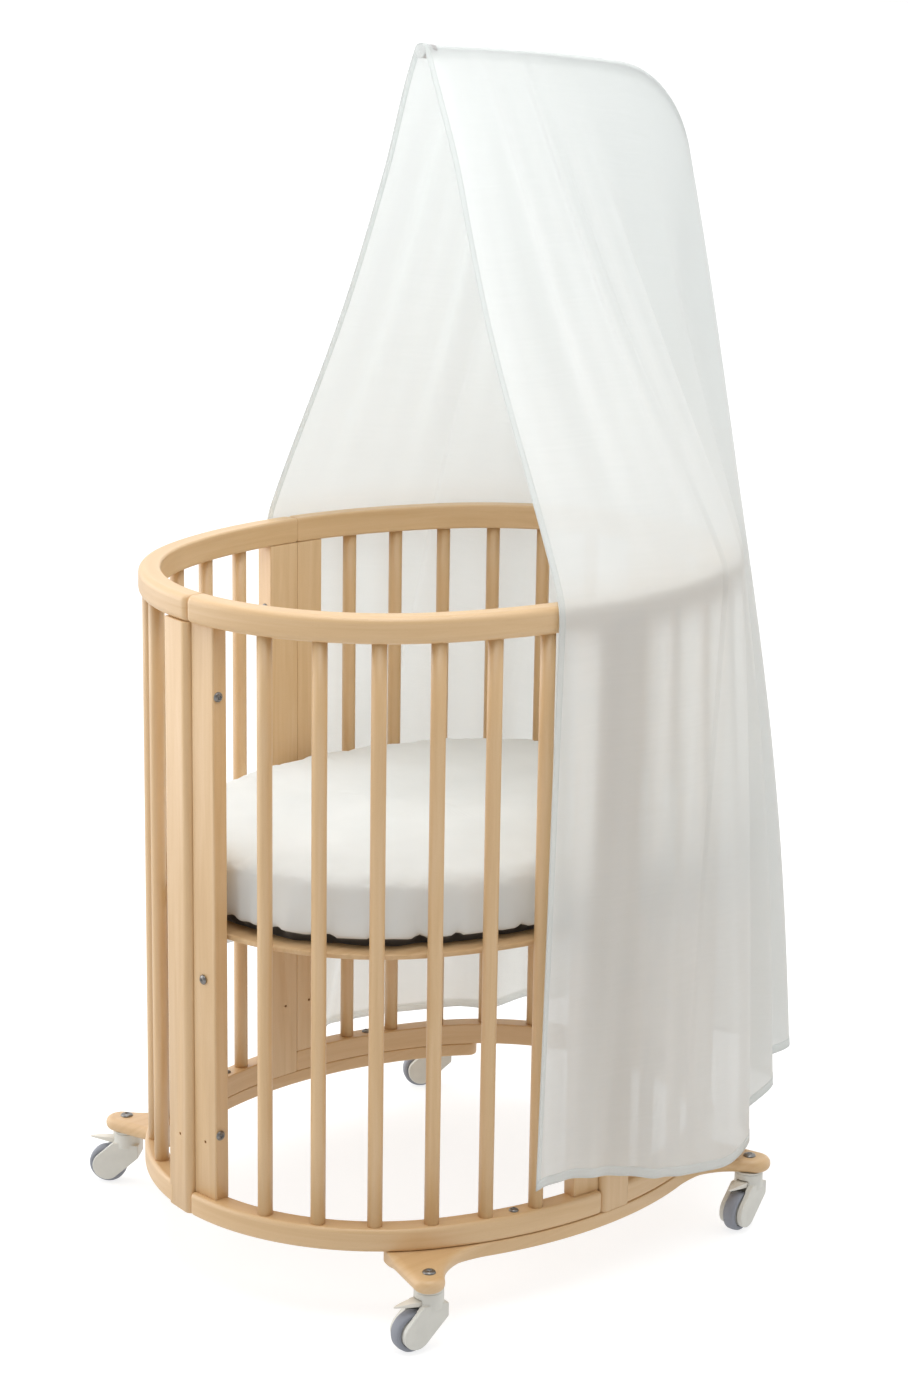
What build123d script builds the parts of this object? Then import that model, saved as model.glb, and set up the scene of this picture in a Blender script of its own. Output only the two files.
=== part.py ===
"""Oval baby crib on four locking casters, with a canopy drape on a bent rod.

Origin: centre of the oval on the floor. +X points to the head end, where the
rod stands, +Y to the left side as seen from the foot end, +Z up. Millimetres.
Four quarter panels are bolted together at the ends of the two oval axes.
"""

import os
from math import acos, atan2, cos, degrees, hypot, radians, sin, tan

from build123d import *

os.makedirs("parts", exist_ok=True)

# Oval of the rails, measured over their outer faces
rail_length = 781.0
rail_width = 629.0
rail_thickness = 27.0
end_arc_half_angle = 65.0  # where the tight end arc meets the flat side arc

# Levels above the floor
beam_underside = 73.7
beam_thickness = 18.0
bottom_rail_height = 29.0
top_rail_top = 860.0
top_rail_height = 32.0
base_underside = 434.0

# Rounded edges of the wood
top_rail_round = 8.0
bottom_rail_round = 5.0
post_nose_round = 9.0
post_edge_round = 2.0

# Posts: each joint pairs a broad flush post with a slim one set back
broad_post_width = 46.0
slim_post_width = 39.0
slim_post_setback = 8.0

# Slats of one quarter panel
slat_count = 6
slat_diameter = 18.0
slat_end_margin = 108.0  # along the rail, from the end seam to the first slat
slat_side_margin = 92.0  # from the side seam to the last slat

# Fasteners that hold panels, base and beams
panel_bolt_drop = 83.0  # upper bolts, below the top rails
panel_bolt_rise = 82.3  # lower bolts, above the bottom rails
bolt_shank_radius = 3.0
bolt_head_radius = 6.0
bolt_head_height = 3.2
head_taper = 0.62  # top radius of a head over its seat radius
cap_nut_sleeve_radius = 4.5
bolt_clearance = 0.2
base_bolt_drop = 37.0  # below the board
spare_hole_rise = 70.3  # above the bottom rails
spare_hole_radius = 2.2
post_hole_inset = 19.0  # from the seam to the cross holes of a post
beam_bolt_x = 121.0
beam_bolt_grip = 12.0  # length inside the beam

# Mattress base, its brackets and the mattress
base_thickness = 18.0
base_gap = 4.0  # between the board and the inside of the posts
base_slot_length = 150.0
base_slot_width = 30.0
base_slot_pitch = 105.0
base_slot_gap = 32.0  # wood between two slots of a row
base_slot_rim = 62.0  # wood left between the slots and the board's edge
bracket_width = 32.0
bracket_height = 64.0
bracket_reach = 46.0
bracket_wall = 7.0
bracket_side = 4.0
bracket_bolt_grip = 6.0
mattress_thickness = 83.0
mattress_gap = 12.0  # between the mattress and the inside of the posts
mattress_round = 12.0
soft_clearance = 0.3

# Caster beams
beam_end_angle = 55.0  # polar angle of the beam's inner end on the end arc
beam_bevel = 2.5  # lower edge all round
lobe_radius = 27.0
lobe_fillet = 60.0
caster_end_inset = 120.5  # from the rails' ends to the caster axes
caster_side_inset = 9.5  # from the rails' outer face to the caster axes

# Casters
wheel_radius = 25.0
tyre_width = 17.0
tyre_round = 2.4
hub_radius = 18.0
hub_rim = 3.0
hub_web = 5.0
hub_boss_radius = 5.5
axle_radius = 2.5
axle_socket = 4.0
caster_trail = 25.0
running_clearance = 0.05
wheel_side_gap = 1.0
wheel_rim_gap = 1.6
fork_width = 33.0
fork_end_radius = 18.5
fork_knee_height = 39.0
drum_radius = 18.0
collar_height = 2.2
swivel_gap = 0.3
stem_radius = 4.0
stem_head_radius = 8.0
stem_head_height = 3.4
stem_foot_radius = 5.5
stem_foot_height = 3.0
stem_depth = 18.0
stem_foot_play = 0.1

# Brake lever
lever_pivot_back = 12.5
lever_pivot_height = 57.5
lever_barrel_radius = 4.6
lever_width = 16.0
lever_tip_width = 7.0
lever_reach = 37.0
lever_thickness = 6.0
lever_side_gap = 0.4
trunnion_radius = 2.2
trunnion_length = 2.6
lever_travel = 14.0

# Canopy rod and its holders
rod_radius = 7.0
rod_bore_radius = 5.6
rod_stand_off = 15.0  # from the rail's outer face to the rod's axis
rod_bend_start = 1294.0
rod_bend_radius = 140.0
rod_bend_angle = 84.0
rod_tip_x = -37.0
holder_drops = (250.0, 70.0)  # middles of the two holders, below the rails' top
holder_height = 26.0
holder_wall = 5.0
holder_tongue = 34.0
holder_screw_inset = 24.0
screw_head_radius = 4.0
screw_head_height = 2.4
screw_shank_radius = 1.75
screw_grip = 14.0  # length inside the post
tip_cap_wall = 1.6
tip_cap_length = 16.0
tip_cap_grip = 12.0

# Drape
drape_thickness = 3.0
drape_front_x = -55.0  # front edges where they cross the rails
drape_rail_gap = 4.0
drape_hem = 150.0
drape_hem_front_x = -112.0
drape_hem_half_width = 327.0
drape_flare_x = 110.0
drape_flare_radius = 348.0
# Folds round the head, from the crib's side to its back. Each leaves the ridge
# at a share of its length and crosses the rails and meets the hem at angles
# about the flare's middle, standing out by shares of the flare's radius; then
# the hem's drop and how far the cloth hangs in above the rails
drape_folds = (
    (0.300, 67.2, 0.847, 90, 1.000, 28, 16),
    (0.365, 56.5, 0.846, 72, 0.980, 46, 8),
    (0.420, 48.5, 0.846, 59, 0.988, 46, 0),
    (0.520, 41.0, 0.840, 50, 0.922, 38, 34),
    (0.640, 33.0, 0.872, 41, 1.038, 10, 6),
    (0.800, 26.0, 0.867, 34, 0.988, 0, 20),
    (0.930, 20.0, 0.959, 27, 1.177, -8, 0),
    (0.985, 9.5, 0.890, 13, 0.980, -2, 14),
    (1.000, 0.0, 0.913, 0, 1.043, 0, 0),
)
drape_ridge_half_width = 10.5
drape_ridge_clearance = 0.3
drape_ridge_set_back = 13.5  # leaves the end cap of the rod free
drape_head_gap = 2.5
drape_sag = 24.0  # how far the flanks hang in, half-way down to the rails

# Derived levels
rail_bottom = beam_underside + beam_thickness
bottom_rail_top = rail_bottom + bottom_rail_height
top_rail_underside = top_rail_top - top_rail_height
base_top = base_underside + base_thickness
panel_bolt_levels = (top_rail_underside - panel_bolt_drop, bottom_rail_top + panel_bolt_rise)
base_bolt_level = base_underside - base_bolt_drop
spare_hole_level = bottom_rail_top + spare_hole_rise
holder_levels = [top_rail_top - drop for drop in holder_drops]

# Two-arc oval: centres and radii of the outer face
half_length = rail_length / 2
half_width = rail_width / 2
_angle = radians(end_arc_half_angle)
end_centre_x = (half_length - half_width) / (1 - 1 / cos(_angle) + tan(_angle))
side_centre_y = end_centre_x * tan(_angle)
end_radius = half_length - end_centre_x
caster_x = half_length - caster_end_inset
caster_y = half_width - caster_side_inset
side_radius = end_radius + end_centre_x / cos(_angle)
centreline = -rail_thickness / 2


def end_arc_point(angle, offset):
    """Point of the first quadrant's end arc at a polar angle about its centre."""
    radius = end_radius + offset
    return (end_centre_x + radius * cos(radians(angle)), radius * sin(radians(angle)))


def side_arc_point(x, offset):
    """Point of the first quadrant's side arc at a given x."""
    radius = side_radius + offset
    return (x, (radius**2 - x**2) ** 0.5 - side_centre_y)


def point_along_rail(distance):
    """Point of the rails' centreline at a distance from the X axis."""
    radius = end_radius + centreline
    end_length = radius * radians(end_arc_half_angle)
    if distance <= end_length:
        return end_arc_point(degrees(distance / radius), centreline)
    radius = side_radius + centreline
    angle = radians(end_arc_half_angle) + (distance - end_length) / radius
    return (radius * cos(angle), radius * sin(angle) - side_centre_y)


def quarter_curve(offset):
    """End arc and side arc of the first quadrant, from the X axis to the Y axis."""
    end_mid = end_arc_point(end_arc_half_angle / 2, offset)
    knee = end_arc_point(end_arc_half_angle, offset)
    side_mid = side_arc_point(knee[0] / 2, offset)
    return [
        ThreePointArc(end_arc_point(0, offset), end_mid, knee),
        ThreePointArc(knee, side_mid, side_arc_point(0, offset)),
    ]


def quarter_band(inner_offset, outer_offset, bottom, top):
    """Quarter ring of wood between two offsets of the oval and two levels."""
    inner = quarter_curve(inner_offset)
    outer = quarter_curve(outer_offset)
    seams = [Line(inner[0] @ 0, outer[0] @ 0), Line(inner[1] @ 1, outer[1] @ 1)]
    face = make_face(inner + outer + seams)
    return extrude(Pos(0, 0, bottom) * face, top - bottom)


def oval_disc(offset, bottom, top):
    """Full oval plate at an offset from the rails' outer face."""
    corner = make_face(
        quarter_curve(offset)
        + [Line((0, 0), end_arc_point(0, offset)), Line((0, 0), side_arc_point(0, offset))]
    )
    half = corner + mirror(corner, Plane.XZ)
    return extrude(Pos(0, 0, bottom) * (half + mirror(half, Plane.YZ)), top - bottom)


def offset_of(point):
    """How far a point of the first quadrant lies outside the rails' outer face."""
    x, y = abs(point.X), abs(point.Y)
    if degrees(atan2(y, x - end_centre_x)) <= end_arc_half_angle:
        return hypot(x - end_centre_x, y) - end_radius
    return hypot(x, y + side_centre_y) - side_radius


def is_upright(edge):
    return abs(edge.tangent_at(0.5).Z) > 0.99


def is_curved(edge):
    return edge.geom_type == GeomType.CIRCLE


def half_box(width, side):
    """Region of the first quadrant within a width of the end or side seam."""
    big = rail_length
    size = (big, width) if side == "end" else (width, big)
    return Pos(size[0] / 2, size[1] / 2, big / 2) * Box(size[0], size[1], 2 * big)


def is_outer(edge):
    return abs(offset_of(edge @ 0.5)) < 0.5


def top_rail():
    """Quarter handrail, its outer edges and both ends bull-nosed."""
    body = quarter_band(-rail_thickness, 0, top_rail_underside, top_rail_top)
    nosed = [e for e in body.edges() if is_outer(e) and (is_curved(e) or is_upright(e))]
    return fillet(nosed, top_rail_round)


def bottom_rail(broad):
    """Quarter bottom rail, between the broad posts or past the slim ones."""
    body = quarter_band(-rail_thickness, 0, rail_bottom, bottom_rail_top)
    if broad:
        body -= half_box(broad_post_width, "end")
        body -= half_box(broad_post_width, "side")
    outer = [e for e in body.edges() if is_outer(e)]
    upper = [e for e in outer if is_curved(e) and (e @ 0.5).Z > bottom_rail_top - 1]
    ends = [e for e in outer if is_upright(e) and not broad]
    body = fillet(upper + ends, bottom_rail_round)
    x, y = side_arc_point(beam_bolt_x, centreline)
    return body - Pos(x, y, rail_bottom) * Cylinder(bolt_shank_radius + bolt_clearance, rail_length)


def slat_points():
    """Slat axes, evenly spaced along the rail between the two margins."""
    run = (end_radius + centreline) * radians(end_arc_half_angle)
    run += (side_radius + centreline) * radians(90 - end_arc_half_angle)
    step = (run - slat_end_margin - slat_side_margin) / (slat_count - 1)
    return [point_along_rail(slat_end_margin + i * step) for i in range(slat_count)]


def slat_rods():
    height = top_rail_underside - bottom_rail_top
    middle = (top_rail_underside + bottom_rail_top) / 2
    return [Pos(x, y, middle) * Cylinder(slat_diameter / 2, height) for x, y in slat_points()]


def post(side, broad):
    """Upright at the end or side seam, broad and flush or slim and set back."""
    width = broad_post_width if broad else slim_post_width
    outer_offset = 0 if broad else -slim_post_setback
    bottom = rail_bottom if broad else bottom_rail_top
    body = quarter_band(-rail_thickness, outer_offset, bottom, top_rail_underside)
    body = body & half_box(width, side)
    seam = Axis.Y if side == "end" else Axis.X
    upright = [e for e in body.edges() if is_upright(e)]
    outer = [e for e in upright if abs(offset_of(e @ 0.5) - outer_offset) < 0.5]
    nose = sorted(outer, key=lambda e: (e @ 0.5).dot(seam.direction))[0]
    if broad:
        body = fillet(nose, post_nose_round)
        upright = [e for e in body.edges() if is_upright(e)]
        outer = [e for e in upright if abs(offset_of(e @ 0.5)) < 0.5]
        far = sorted(outer, key=lambda e: (e @ 0.5).dot(seam.direction))[-1]
        body = fillet(far, post_edge_round)
    return body


def seam_place(side, outwards, along, level):
    """Location at a seam of the first quadrant."""
    if side == "end":
        return Pos(half_length + outwards, along, level)
    return Pos(along, half_width + outwards, level)


def rod_along_seam(side, radius, start, end, outwards, level):
    """Cylinder that runs along the rail, across the seam."""
    turn = Rot(90, 0, 0) if side == "end" else Rot(0, 90, 0)
    middle = (start + end) / 2
    place = seam_place(side, outwards, middle, level)
    return place * turn * Cylinder(radius, abs(end - start))


def rod_through_post(side, radius, start, end, along, level):
    """Cylinder that runs outwards through a post."""
    turn = Rot(0, 90, 0) if side == "end" else Rot(90, 0, 0)
    place = seam_place(side, (start + end) / 2, along, level)
    return place * turn * Cylinder(radius, abs(end - start))


def pan_head(radius, height):
    """Low tapered screw head that stands on the XY plane."""
    return Pos(0, 0, height / 2) * Cone(radius, head_taper * radius, height)


# Depth of the panel bolts: the middle of the slim post's thickness
bolt_offset = -(slim_post_setback + rail_thickness) / 2


def drill_post(body, side, broad):
    """Bolt holes of a post: across the seam, for the base, and one spare."""
    hole = cap_nut_sleeve_radius if broad else bolt_shank_radius
    width = broad_post_width if broad else slim_post_width
    for level in panel_bolt_levels:
        body -= rod_along_seam(side, hole + bolt_clearance, -1, width + 1, bolt_offset, level)
    through = (-rail_thickness - 5, 5)
    body -= rod_through_post(side, spare_hole_radius, *through, post_hole_inset, spare_hole_level)
    if broad == (side == "side"):
        radius = bolt_shank_radius + bolt_clearance
        body -= rod_through_post(side, radius, *through, post_hole_inset, base_bolt_level)
    return body


def to_quadrant(shape, head, left):
    """Copies a first-quadrant shape to the quadrant at the named end and side."""
    if not head:
        shape = mirror(shape, Plane.YZ)
    if not left:
        shape = mirror(shape, Plane.XZ)
    return shape


def write(name, shape):
    solids = shape if isinstance(shape, list) else shape.solids()
    whole = solids[0] if len(solids) == 1 else Compound(children=list(solids))
    whole.label = name
    export_step(whole, f"parts/{name}.step")


def holder_screw_levels():
    """Two screws in each of the rod's holders."""
    for level in holder_levels:
        yield level - holder_height / 4
        yield level + holder_height / 4


def holder_screw_shank(level, clearance):
    """Shank from the face of the holder's tongue into the broad post."""
    length = rod_stand_off + screw_grip
    place = Pos(half_length + rod_stand_off - length / 2, -holder_screw_inset, level)
    return place * Rot(0, 90, 0) * Cylinder(screw_shank_radius + clearance, length)


# Quarter panels
PANELS = {
    "head_left": (True, True, False),
    "foot_right": (False, False, False),
    "head_right": (True, False, True),
    "foot_left": (False, True, True),
}


def panel_pieces(broad):
    """Pieces of a first-quadrant panel with broad or slim posts."""
    pieces = {"top_rail": top_rail(), "bottom_rail": bottom_rail(broad), "slats": slat_rods()}
    for side in ("end", "side"):
        pieces[f"{side}_post"] = drill_post(post(side, broad), side, broad)
    return pieces


def make_panels():
    for broad in (False, True):
        pieces = panel_pieces(broad)
        for panel, (head, left, panel_broad) in PANELS.items():
            if panel_broad != broad:
                continue
            for piece, shape in pieces.items():
                if isinstance(shape, list):
                    write(f"{panel}_{piece}", [to_quadrant(s, head, left) for s in shape])
                    continue
                shape = to_quadrant(shape, head, left)
                if (panel, piece) == ("head_right", "end_post"):
                    for level in holder_screw_levels():
                        shape -= holder_screw_shank(level, running_clearance)
                write(f"{panel}_{piece}", shape)


def seam_fastener(side, level, toward_slim):
    """Panel bolt or its cap nut at a seam of the first quadrant."""
    if toward_slim:
        head_at, tip, radius = slim_post_width, 0, bolt_shank_radius
    else:
        head_at, tip, radius = broad_post_width, 0, cap_nut_sleeve_radius
    shank = rod_along_seam(side, radius, tip, head_at, bolt_offset, level)
    turn = Rot(-90, 0, 0) if side == "end" else Rot(0, 90, 0)
    head = seam_place(side, bolt_offset, head_at, level) * turn * pan_head(bolt_head_radius, bolt_head_height)
    return shank + head


def make_panel_fasteners():
    bolts, nuts = [], []
    for side in ("end", "side"):
        for level in panel_bolt_levels:
            bolt = seam_fastener(side, level, True)
            nut = seam_fastener(side, level, False)
            for panel, (head, left, broad) in PANELS.items():
                piece = nut if broad else bolt
                (nuts if broad else bolts).append(to_quadrant(piece, head, left))
    write("panel_bolts", bolts)
    write("panel_cap_nuts", nuts)


# Mattress base, brackets, mattress
def base_board():
    offset = -rail_thickness - base_gap
    body = oval_disc(offset, base_underside, base_top)
    room_y = half_width + offset - base_slot_rim
    count_y = int(room_y // base_slot_pitch)
    for j in range(-count_y, count_y + 1):
        y = j * base_slot_pitch
        room = side_arc_point(0, offset)[1] - abs(y)
        columns = (-1, 0, 1) if room > 1.5 * base_slot_pitch else (-0.5, 0.5)
        for i in columns:
            x = i * (base_slot_length + base_slot_gap)
            slot = Pos(x, y, base_underside) * extrude(
                SlotOverall(base_slot_length, base_slot_width), base_thickness)
            body -= slot
    return body


def base_bracket(side):
    """Gusset under the base: a plate on the post and a quarter-round web."""
    face = -rail_thickness
    profile = Polyline(
        (face + bracket_side, base_underside), (face - bracket_reach, base_underside),
        (face - bracket_reach, base_underside - bracket_wall),
    )
    web = ThreePointArc(
        (face - bracket_reach, base_underside - bracket_wall),
        (face - bracket_reach * 0.62, base_underside - bracket_height * 0.62),
        (face - bracket_wall, base_underside - bracket_height),
    )
    foot = Polyline(
        (face - bracket_wall, base_underside - bracket_height),
        (face + bracket_side, base_underside - bracket_height),
        (face + bracket_side, base_underside),
    )
    section = make_face(profile.edges() + [web] + foot.edges())
    along = post_hole_inset - bracket_width / 2
    if side == "end":
        plane = Plane((half_length, along, 0), x_dir=(1, 0, 0), z_dir=(0, -1, 0))
        body = extrude(plane * section, -bracket_width)
    else:
        plane = Plane((along, half_width, 0), x_dir=(0, 1, 0), z_dir=(1, 0, 0))
        body = extrude(plane * section, bracket_width)
    body -= quarter_band(face, 0, 0, top_rail_top)
    # pocket between the two side webs, open towards the middle of the crib
    pocket = seam_place(side, face - bracket_reach / 2 - bracket_wall, post_hole_inset,
                        base_underside - bracket_height / 2 - bracket_wall)
    inner = bracket_width - 2 * bracket_side
    size = (bracket_reach, inner) if side == "end" else (inner, bracket_reach)
    body -= pocket * Box(size[0], size[1], bracket_height)
    radius = bolt_shank_radius + bolt_clearance
    start = face - bracket_wall - 1
    body -= rod_through_post(side, radius, start, face + 5, post_hole_inset, base_bolt_level)
    return body


def base_bolt(side):
    """Bolt with its head on the outside of a post and its end in the bracket."""
    outer = 0 if side == "side" else -slim_post_setback
    tip = -rail_thickness - bracket_bolt_grip
    sag = (post_hole_inset**2) / (2 * (end_radius if side == "end" else side_radius))
    shank = rod_through_post(side, bolt_shank_radius, tip, outer, post_hole_inset, base_bolt_level)
    turn = Rot(0, 90, 0) if side == "end" else Rot(-90, 0, 0)
    place = seam_place(side, outer - sag * 0.2, post_hole_inset, base_bolt_level)
    return shank + place * turn * pan_head(bolt_head_radius, bolt_head_height)


def base_bolt_places():
    """Broad side posts and slim end posts carry the base, one at each seam."""
    for panel, (head, left, broad) in PANELS.items():
        yield ("side" if broad else "end"), head, left


def make_base_and_mattress():
    write("mattress_base", base_board())
    brackets, bolts = [], []
    for side, head, left in base_bolt_places():
        brackets.append(to_quadrant(base_bracket(side), head, left))
        bolts.append(to_quadrant(base_bolt(side), head, left))
    write("base_brackets", brackets)
    write("base_bolts", bolts)
    offset = -rail_thickness - mattress_gap
    body = oval_disc(offset, base_top + soft_clearance, base_top + mattress_thickness)
    rim = [e for e in body.edges() if is_curved(e)]
    write("mattress", chamfer(rim, mattress_round))


# Caster beams
def outer_tangent(centre_a, radius_a, centre_b, radius_b, sign):
    """End points of the outer tangent of two circles, on one side of them."""
    dx, dy = centre_b[0] - centre_a[0], centre_b[1] - centre_a[1]
    span = hypot(dx, dy)
    angle = atan2(dy, dx) + sign * acos((radius_a - radius_b) / span)
    nx, ny = cos(angle), sin(angle)
    return (
        (centre_a[0] + radius_a * nx, centre_a[1] + radius_a * ny),
        (centre_b[0] + radius_b * nx, centre_b[1] + radius_b * ny),
    )


def circle_meeting(centre_a, radius_a, centre_b, radius_b):
    """Upper-left meeting point of two circles."""
    dx, dy = centre_b[0] - centre_a[0], centre_b[1] - centre_a[1]
    span = hypot(dx, dy)
    along = (radius_a**2 - radius_b**2 + span**2) / (2 * span)
    across = (radius_a**2 - along**2) ** 0.5
    foot = (centre_a[0] + dx * along / span, centre_a[1] + dy * along / span)
    points = [
        (foot[0] + sign * -dy * across / span, foot[1] + sign * dx * across / span)
        for sign in (1, -1)
    ]
    return min(points, key=lambda p: p[0])


def toward(start, target, distance):
    """Point at a distance from start on the way to target."""
    dx, dy = target[0] - start[0], target[1] - start[1]
    span = hypot(dx, dy)
    return (start[0] + dx * distance / span, start[1] + dy * distance / span)


def arc_about(centre, radius, start, end, long_way=False):
    """Arc about a centre between two of its points, the short way round."""
    a = atan2(start[1] - centre[1], start[0] - centre[0])
    b = atan2(end[1] - centre[1], end[0] - centre[0])
    turn = (b - a + radians(540)) % radians(360) - radians(180)
    if long_way:
        turn -= radians(360) if turn > 0 else radians(-360)
    mid = a + turn / 2
    return ThreePointArc(start, (centre[0] + radius * cos(mid), centre[1] + radius * sin(mid)), end)


def half_beam():
    """First-quadrant half of a beam: it follows the rail and flares to a lobe."""
    tip_centre = end_arc_point(beam_end_angle, centreline)
    tip_radius = rail_thickness / 2
    lobe = (caster_x, caster_y)
    side_centre = (0, -side_centre_y)
    fillet_centre = circle_meeting(
        lobe, lobe_radius + lobe_fillet, side_centre, side_radius + lobe_fillet)
    leave_side = toward(side_centre, fillet_centre, side_radius)
    meet_lobe = toward(lobe, fillet_centre, lobe_radius)
    tip_tangent, lobe_tangent = outer_tangent(tip_centre, tip_radius, lobe, lobe_radius, -1)
    inner_tip = end_arc_point(beam_end_angle, -rail_thickness)
    inner_knee = end_arc_point(end_arc_half_angle, -rail_thickness)
    edges = [
        Line(side_arc_point(0, -rail_thickness), side_arc_point(0, 0)),
        arc_about(side_centre, side_radius, side_arc_point(0, 0), leave_side),
        arc_about(fillet_centre, lobe_fillet, leave_side, meet_lobe),
        arc_about(lobe, lobe_radius, meet_lobe, lobe_tangent),
        Line(lobe_tangent, tip_tangent),
        arc_about(tip_centre, tip_radius, tip_tangent, inner_tip),
        arc_about((end_centre_x, 0), end_radius - rail_thickness, inner_tip, inner_knee),
        arc_about(side_centre, side_radius - rail_thickness, inner_knee,
                  side_arc_point(0, -rail_thickness)),
    ]
    return make_face(edges)


def caster_beam():
    half = half_beam()
    whole = half + mirror(half, Plane.YZ)
    body = extrude(Pos(0, 0, beam_underside) * whole, beam_thickness)
    lower = [e for e in body.edges() if abs(e.tangent_at(0.5).Z) < 0.01
             and (e @ 0.5).Z < beam_underside + 0.1]
    body = chamfer(lower, beam_bevel)
    middle = beam_underside + beam_thickness / 2
    x, y = side_arc_point(beam_bolt_x, centreline)
    hole = Cylinder(bolt_shank_radius + bolt_clearance, beam_bolt_grip + 1)
    stem_hole = Cylinder(stem_radius + bolt_clearance, 2 * beam_thickness)
    for sign in (1, -1):
        body -= Pos(sign * x, y, rail_bottom - (beam_bolt_grip + 1) / 2) * hole
        body -= Pos(sign * caster_x, caster_y, middle) * stem_hole
    return body


def make_beams():
    beam = caster_beam()
    write("left_caster_beam", beam)
    write("right_caster_beam", mirror(beam, Plane.XZ))
    x, y = side_arc_point(beam_bolt_x, centreline)
    length = bottom_rail_height + beam_bolt_grip
    shank = Pos(x, y, bottom_rail_top - length / 2) * Cylinder(bolt_shank_radius, length)
    bolt = shank + Pos(x, y, bottom_rail_top) * pan_head(bolt_head_radius, bolt_head_height)
    write("beam_bolts", [to_quadrant(bolt, h, l) for h in (True, False) for l in (True, False)])


# Casters: swivel places and the way each one trails at rest
CASTERS = {
    "foot_right": (-1, -1, 174.0),
    "head_right": (1, -1, 193.0),
    "head_left": (1, 1, 146.0),
    "foot_left": (-1, 1, 132.0),
}

drum_top = beam_underside - collar_height - swivel_gap


def across(radius, length):
    """Cylinder along the caster's axle direction."""
    return Rot(90, 0, 0) * Cylinder(radius, length)


def caster_fork():
    """Moulded fork: a swivel drum and two slanted cheeks over the wheel.

    The swivel axis is at x = 0 and the wheel trails towards +x.
    """
    hub = Pos(caster_trail, wheel_radius)
    cheek = make_hull([
        *(hub * Circle(fork_end_radius)).edges(),
        *Polyline((-drum_radius, fork_knee_height), (-drum_radius, fork_knee_height + 17),
                  (drum_radius - 2, fork_knee_height + 19)).edges(),
    ])
    side = Plane((0, fork_width / 2, 0), x_dir=(1, 0, 0), z_dir=(0, -1, 0))
    arm = extrude(side * cheek, fork_width)
    plan = Circle(drum_radius) + Pos(wheel_radius, 0) * Rectangle(2 * wheel_radius, fork_width)
    arm = arm & extrude(plan, beam_underside)
    drum_height = drum_top - fork_knee_height - 12
    drum = Pos(0, 0, drum_top - drum_height / 2) * Cylinder(drum_radius, drum_height)
    body = drum + arm
    slot = tyre_width + 2 * wheel_side_gap
    body -= Pos(caster_trail, 0, wheel_radius) * across(wheel_radius + wheel_rim_gap, slot)
    pocket_front = lever_pivot_back - lever_barrel_radius - 0.8
    pocket_top = lever_pivot_height + lever_barrel_radius + 1.0
    pocket = Box(2 * wheel_radius, lever_width + 2 * lever_side_gap, pocket_top - wheel_radius,
                 align=(Align.MIN, Align.CENTER, Align.MAX))
    body -= Pos(pocket_front, 0, pocket_top) * pocket
    socket = slot + 2 * axle_socket
    body -= Pos(caster_trail, 0, wheel_radius) * across(axle_radius + 0.02, socket)
    pivot = lever_width + 2 * (trunnion_length + 0.2)
    body -= Pos(lever_pivot_back, 0, lever_pivot_height) * across(
        trunnion_radius + running_clearance, pivot)
    foot = drum_top - stem_depth
    bore = Cylinder(stem_radius + running_clearance, stem_depth + 1,
                    align=(Align.CENTER, Align.CENTER, Align.MIN))
    chamber = Cylinder(stem_foot_radius + stem_foot_play, stem_foot_height + 2 * stem_foot_play,
                       align=(Align.CENTER, Align.CENTER, Align.MIN))
    body -= Pos(0, 0, foot) * bore
    body -= Pos(0, 0, foot) * chamber
    return body


def caster_tyre():
    ring = Cylinder(wheel_radius, tyre_width)
    ring = chamfer(ring.edges().filter_by(GeomType.CIRCLE), tyre_round, tyre_round * 1.6)
    ring -= Cylinder(hub_radius + running_clearance, tyre_width)
    return Pos(caster_trail, 0, wheel_radius) * Rot(90, 0, 0) * ring


def caster_hub():
    """Spoked-web wheel centre: rim, thin web and axle boss."""
    width = tyre_width - 1.0
    profile = Polyline(
        (axle_radius + running_clearance, -width / 2),
        (hub_boss_radius, -width / 2),
        (hub_boss_radius, -hub_web / 2),
        (hub_radius - hub_rim, -hub_web / 2),
        (hub_radius - hub_rim, -width / 2),
        (hub_radius, -width / 2),
        (hub_radius, width / 2),
        (hub_radius - hub_rim, width / 2),
        (hub_radius - hub_rim, hub_web / 2),
        (hub_boss_radius, hub_web / 2),
        (hub_boss_radius, width / 2),
        (axle_radius + running_clearance, width / 2),
        close=True,
    )
    section = Plane.XZ * make_face(profile)
    return Pos(caster_trail, 0, wheel_radius) * Rot(90, 0, 0) * revolve(section, Axis.Z)


def caster_axle():
    length = tyre_width + 2 * wheel_side_gap + 2 * axle_socket - 0.2
    return Pos(caster_trail, 0, wheel_radius) * across(axle_radius, length)


def brake_lever():
    """Tapered pedal on a barrel with moulded trunnions."""
    barrel = Pos(lever_pivot_back, 0, lever_pivot_height) * across(lever_barrel_radius, lever_width)
    tip = lever_pivot_back + lever_reach
    plan = make_hull([
        *Polyline((lever_pivot_back, -lever_width / 2), (lever_pivot_back, lever_width / 2),
                  (lever_pivot_back + 9, lever_width / 2)).edges(),
        *Line((lever_pivot_back + 9, -lever_width / 2), (lever_pivot_back, -lever_width / 2)).edges(),
        *(Pos(tip - lever_tip_width / 2, 0) * Circle(lever_tip_width / 2)).edges(),
    ])
    plate = extrude(Pos(0, 0, lever_pivot_height - 1.6) * plan, lever_thickness)
    pins = Pos(lever_pivot_back, 0, lever_pivot_height) * across(
        trunnion_radius, lever_width + 2 * trunnion_length)
    return barrel + plate + pins


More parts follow.
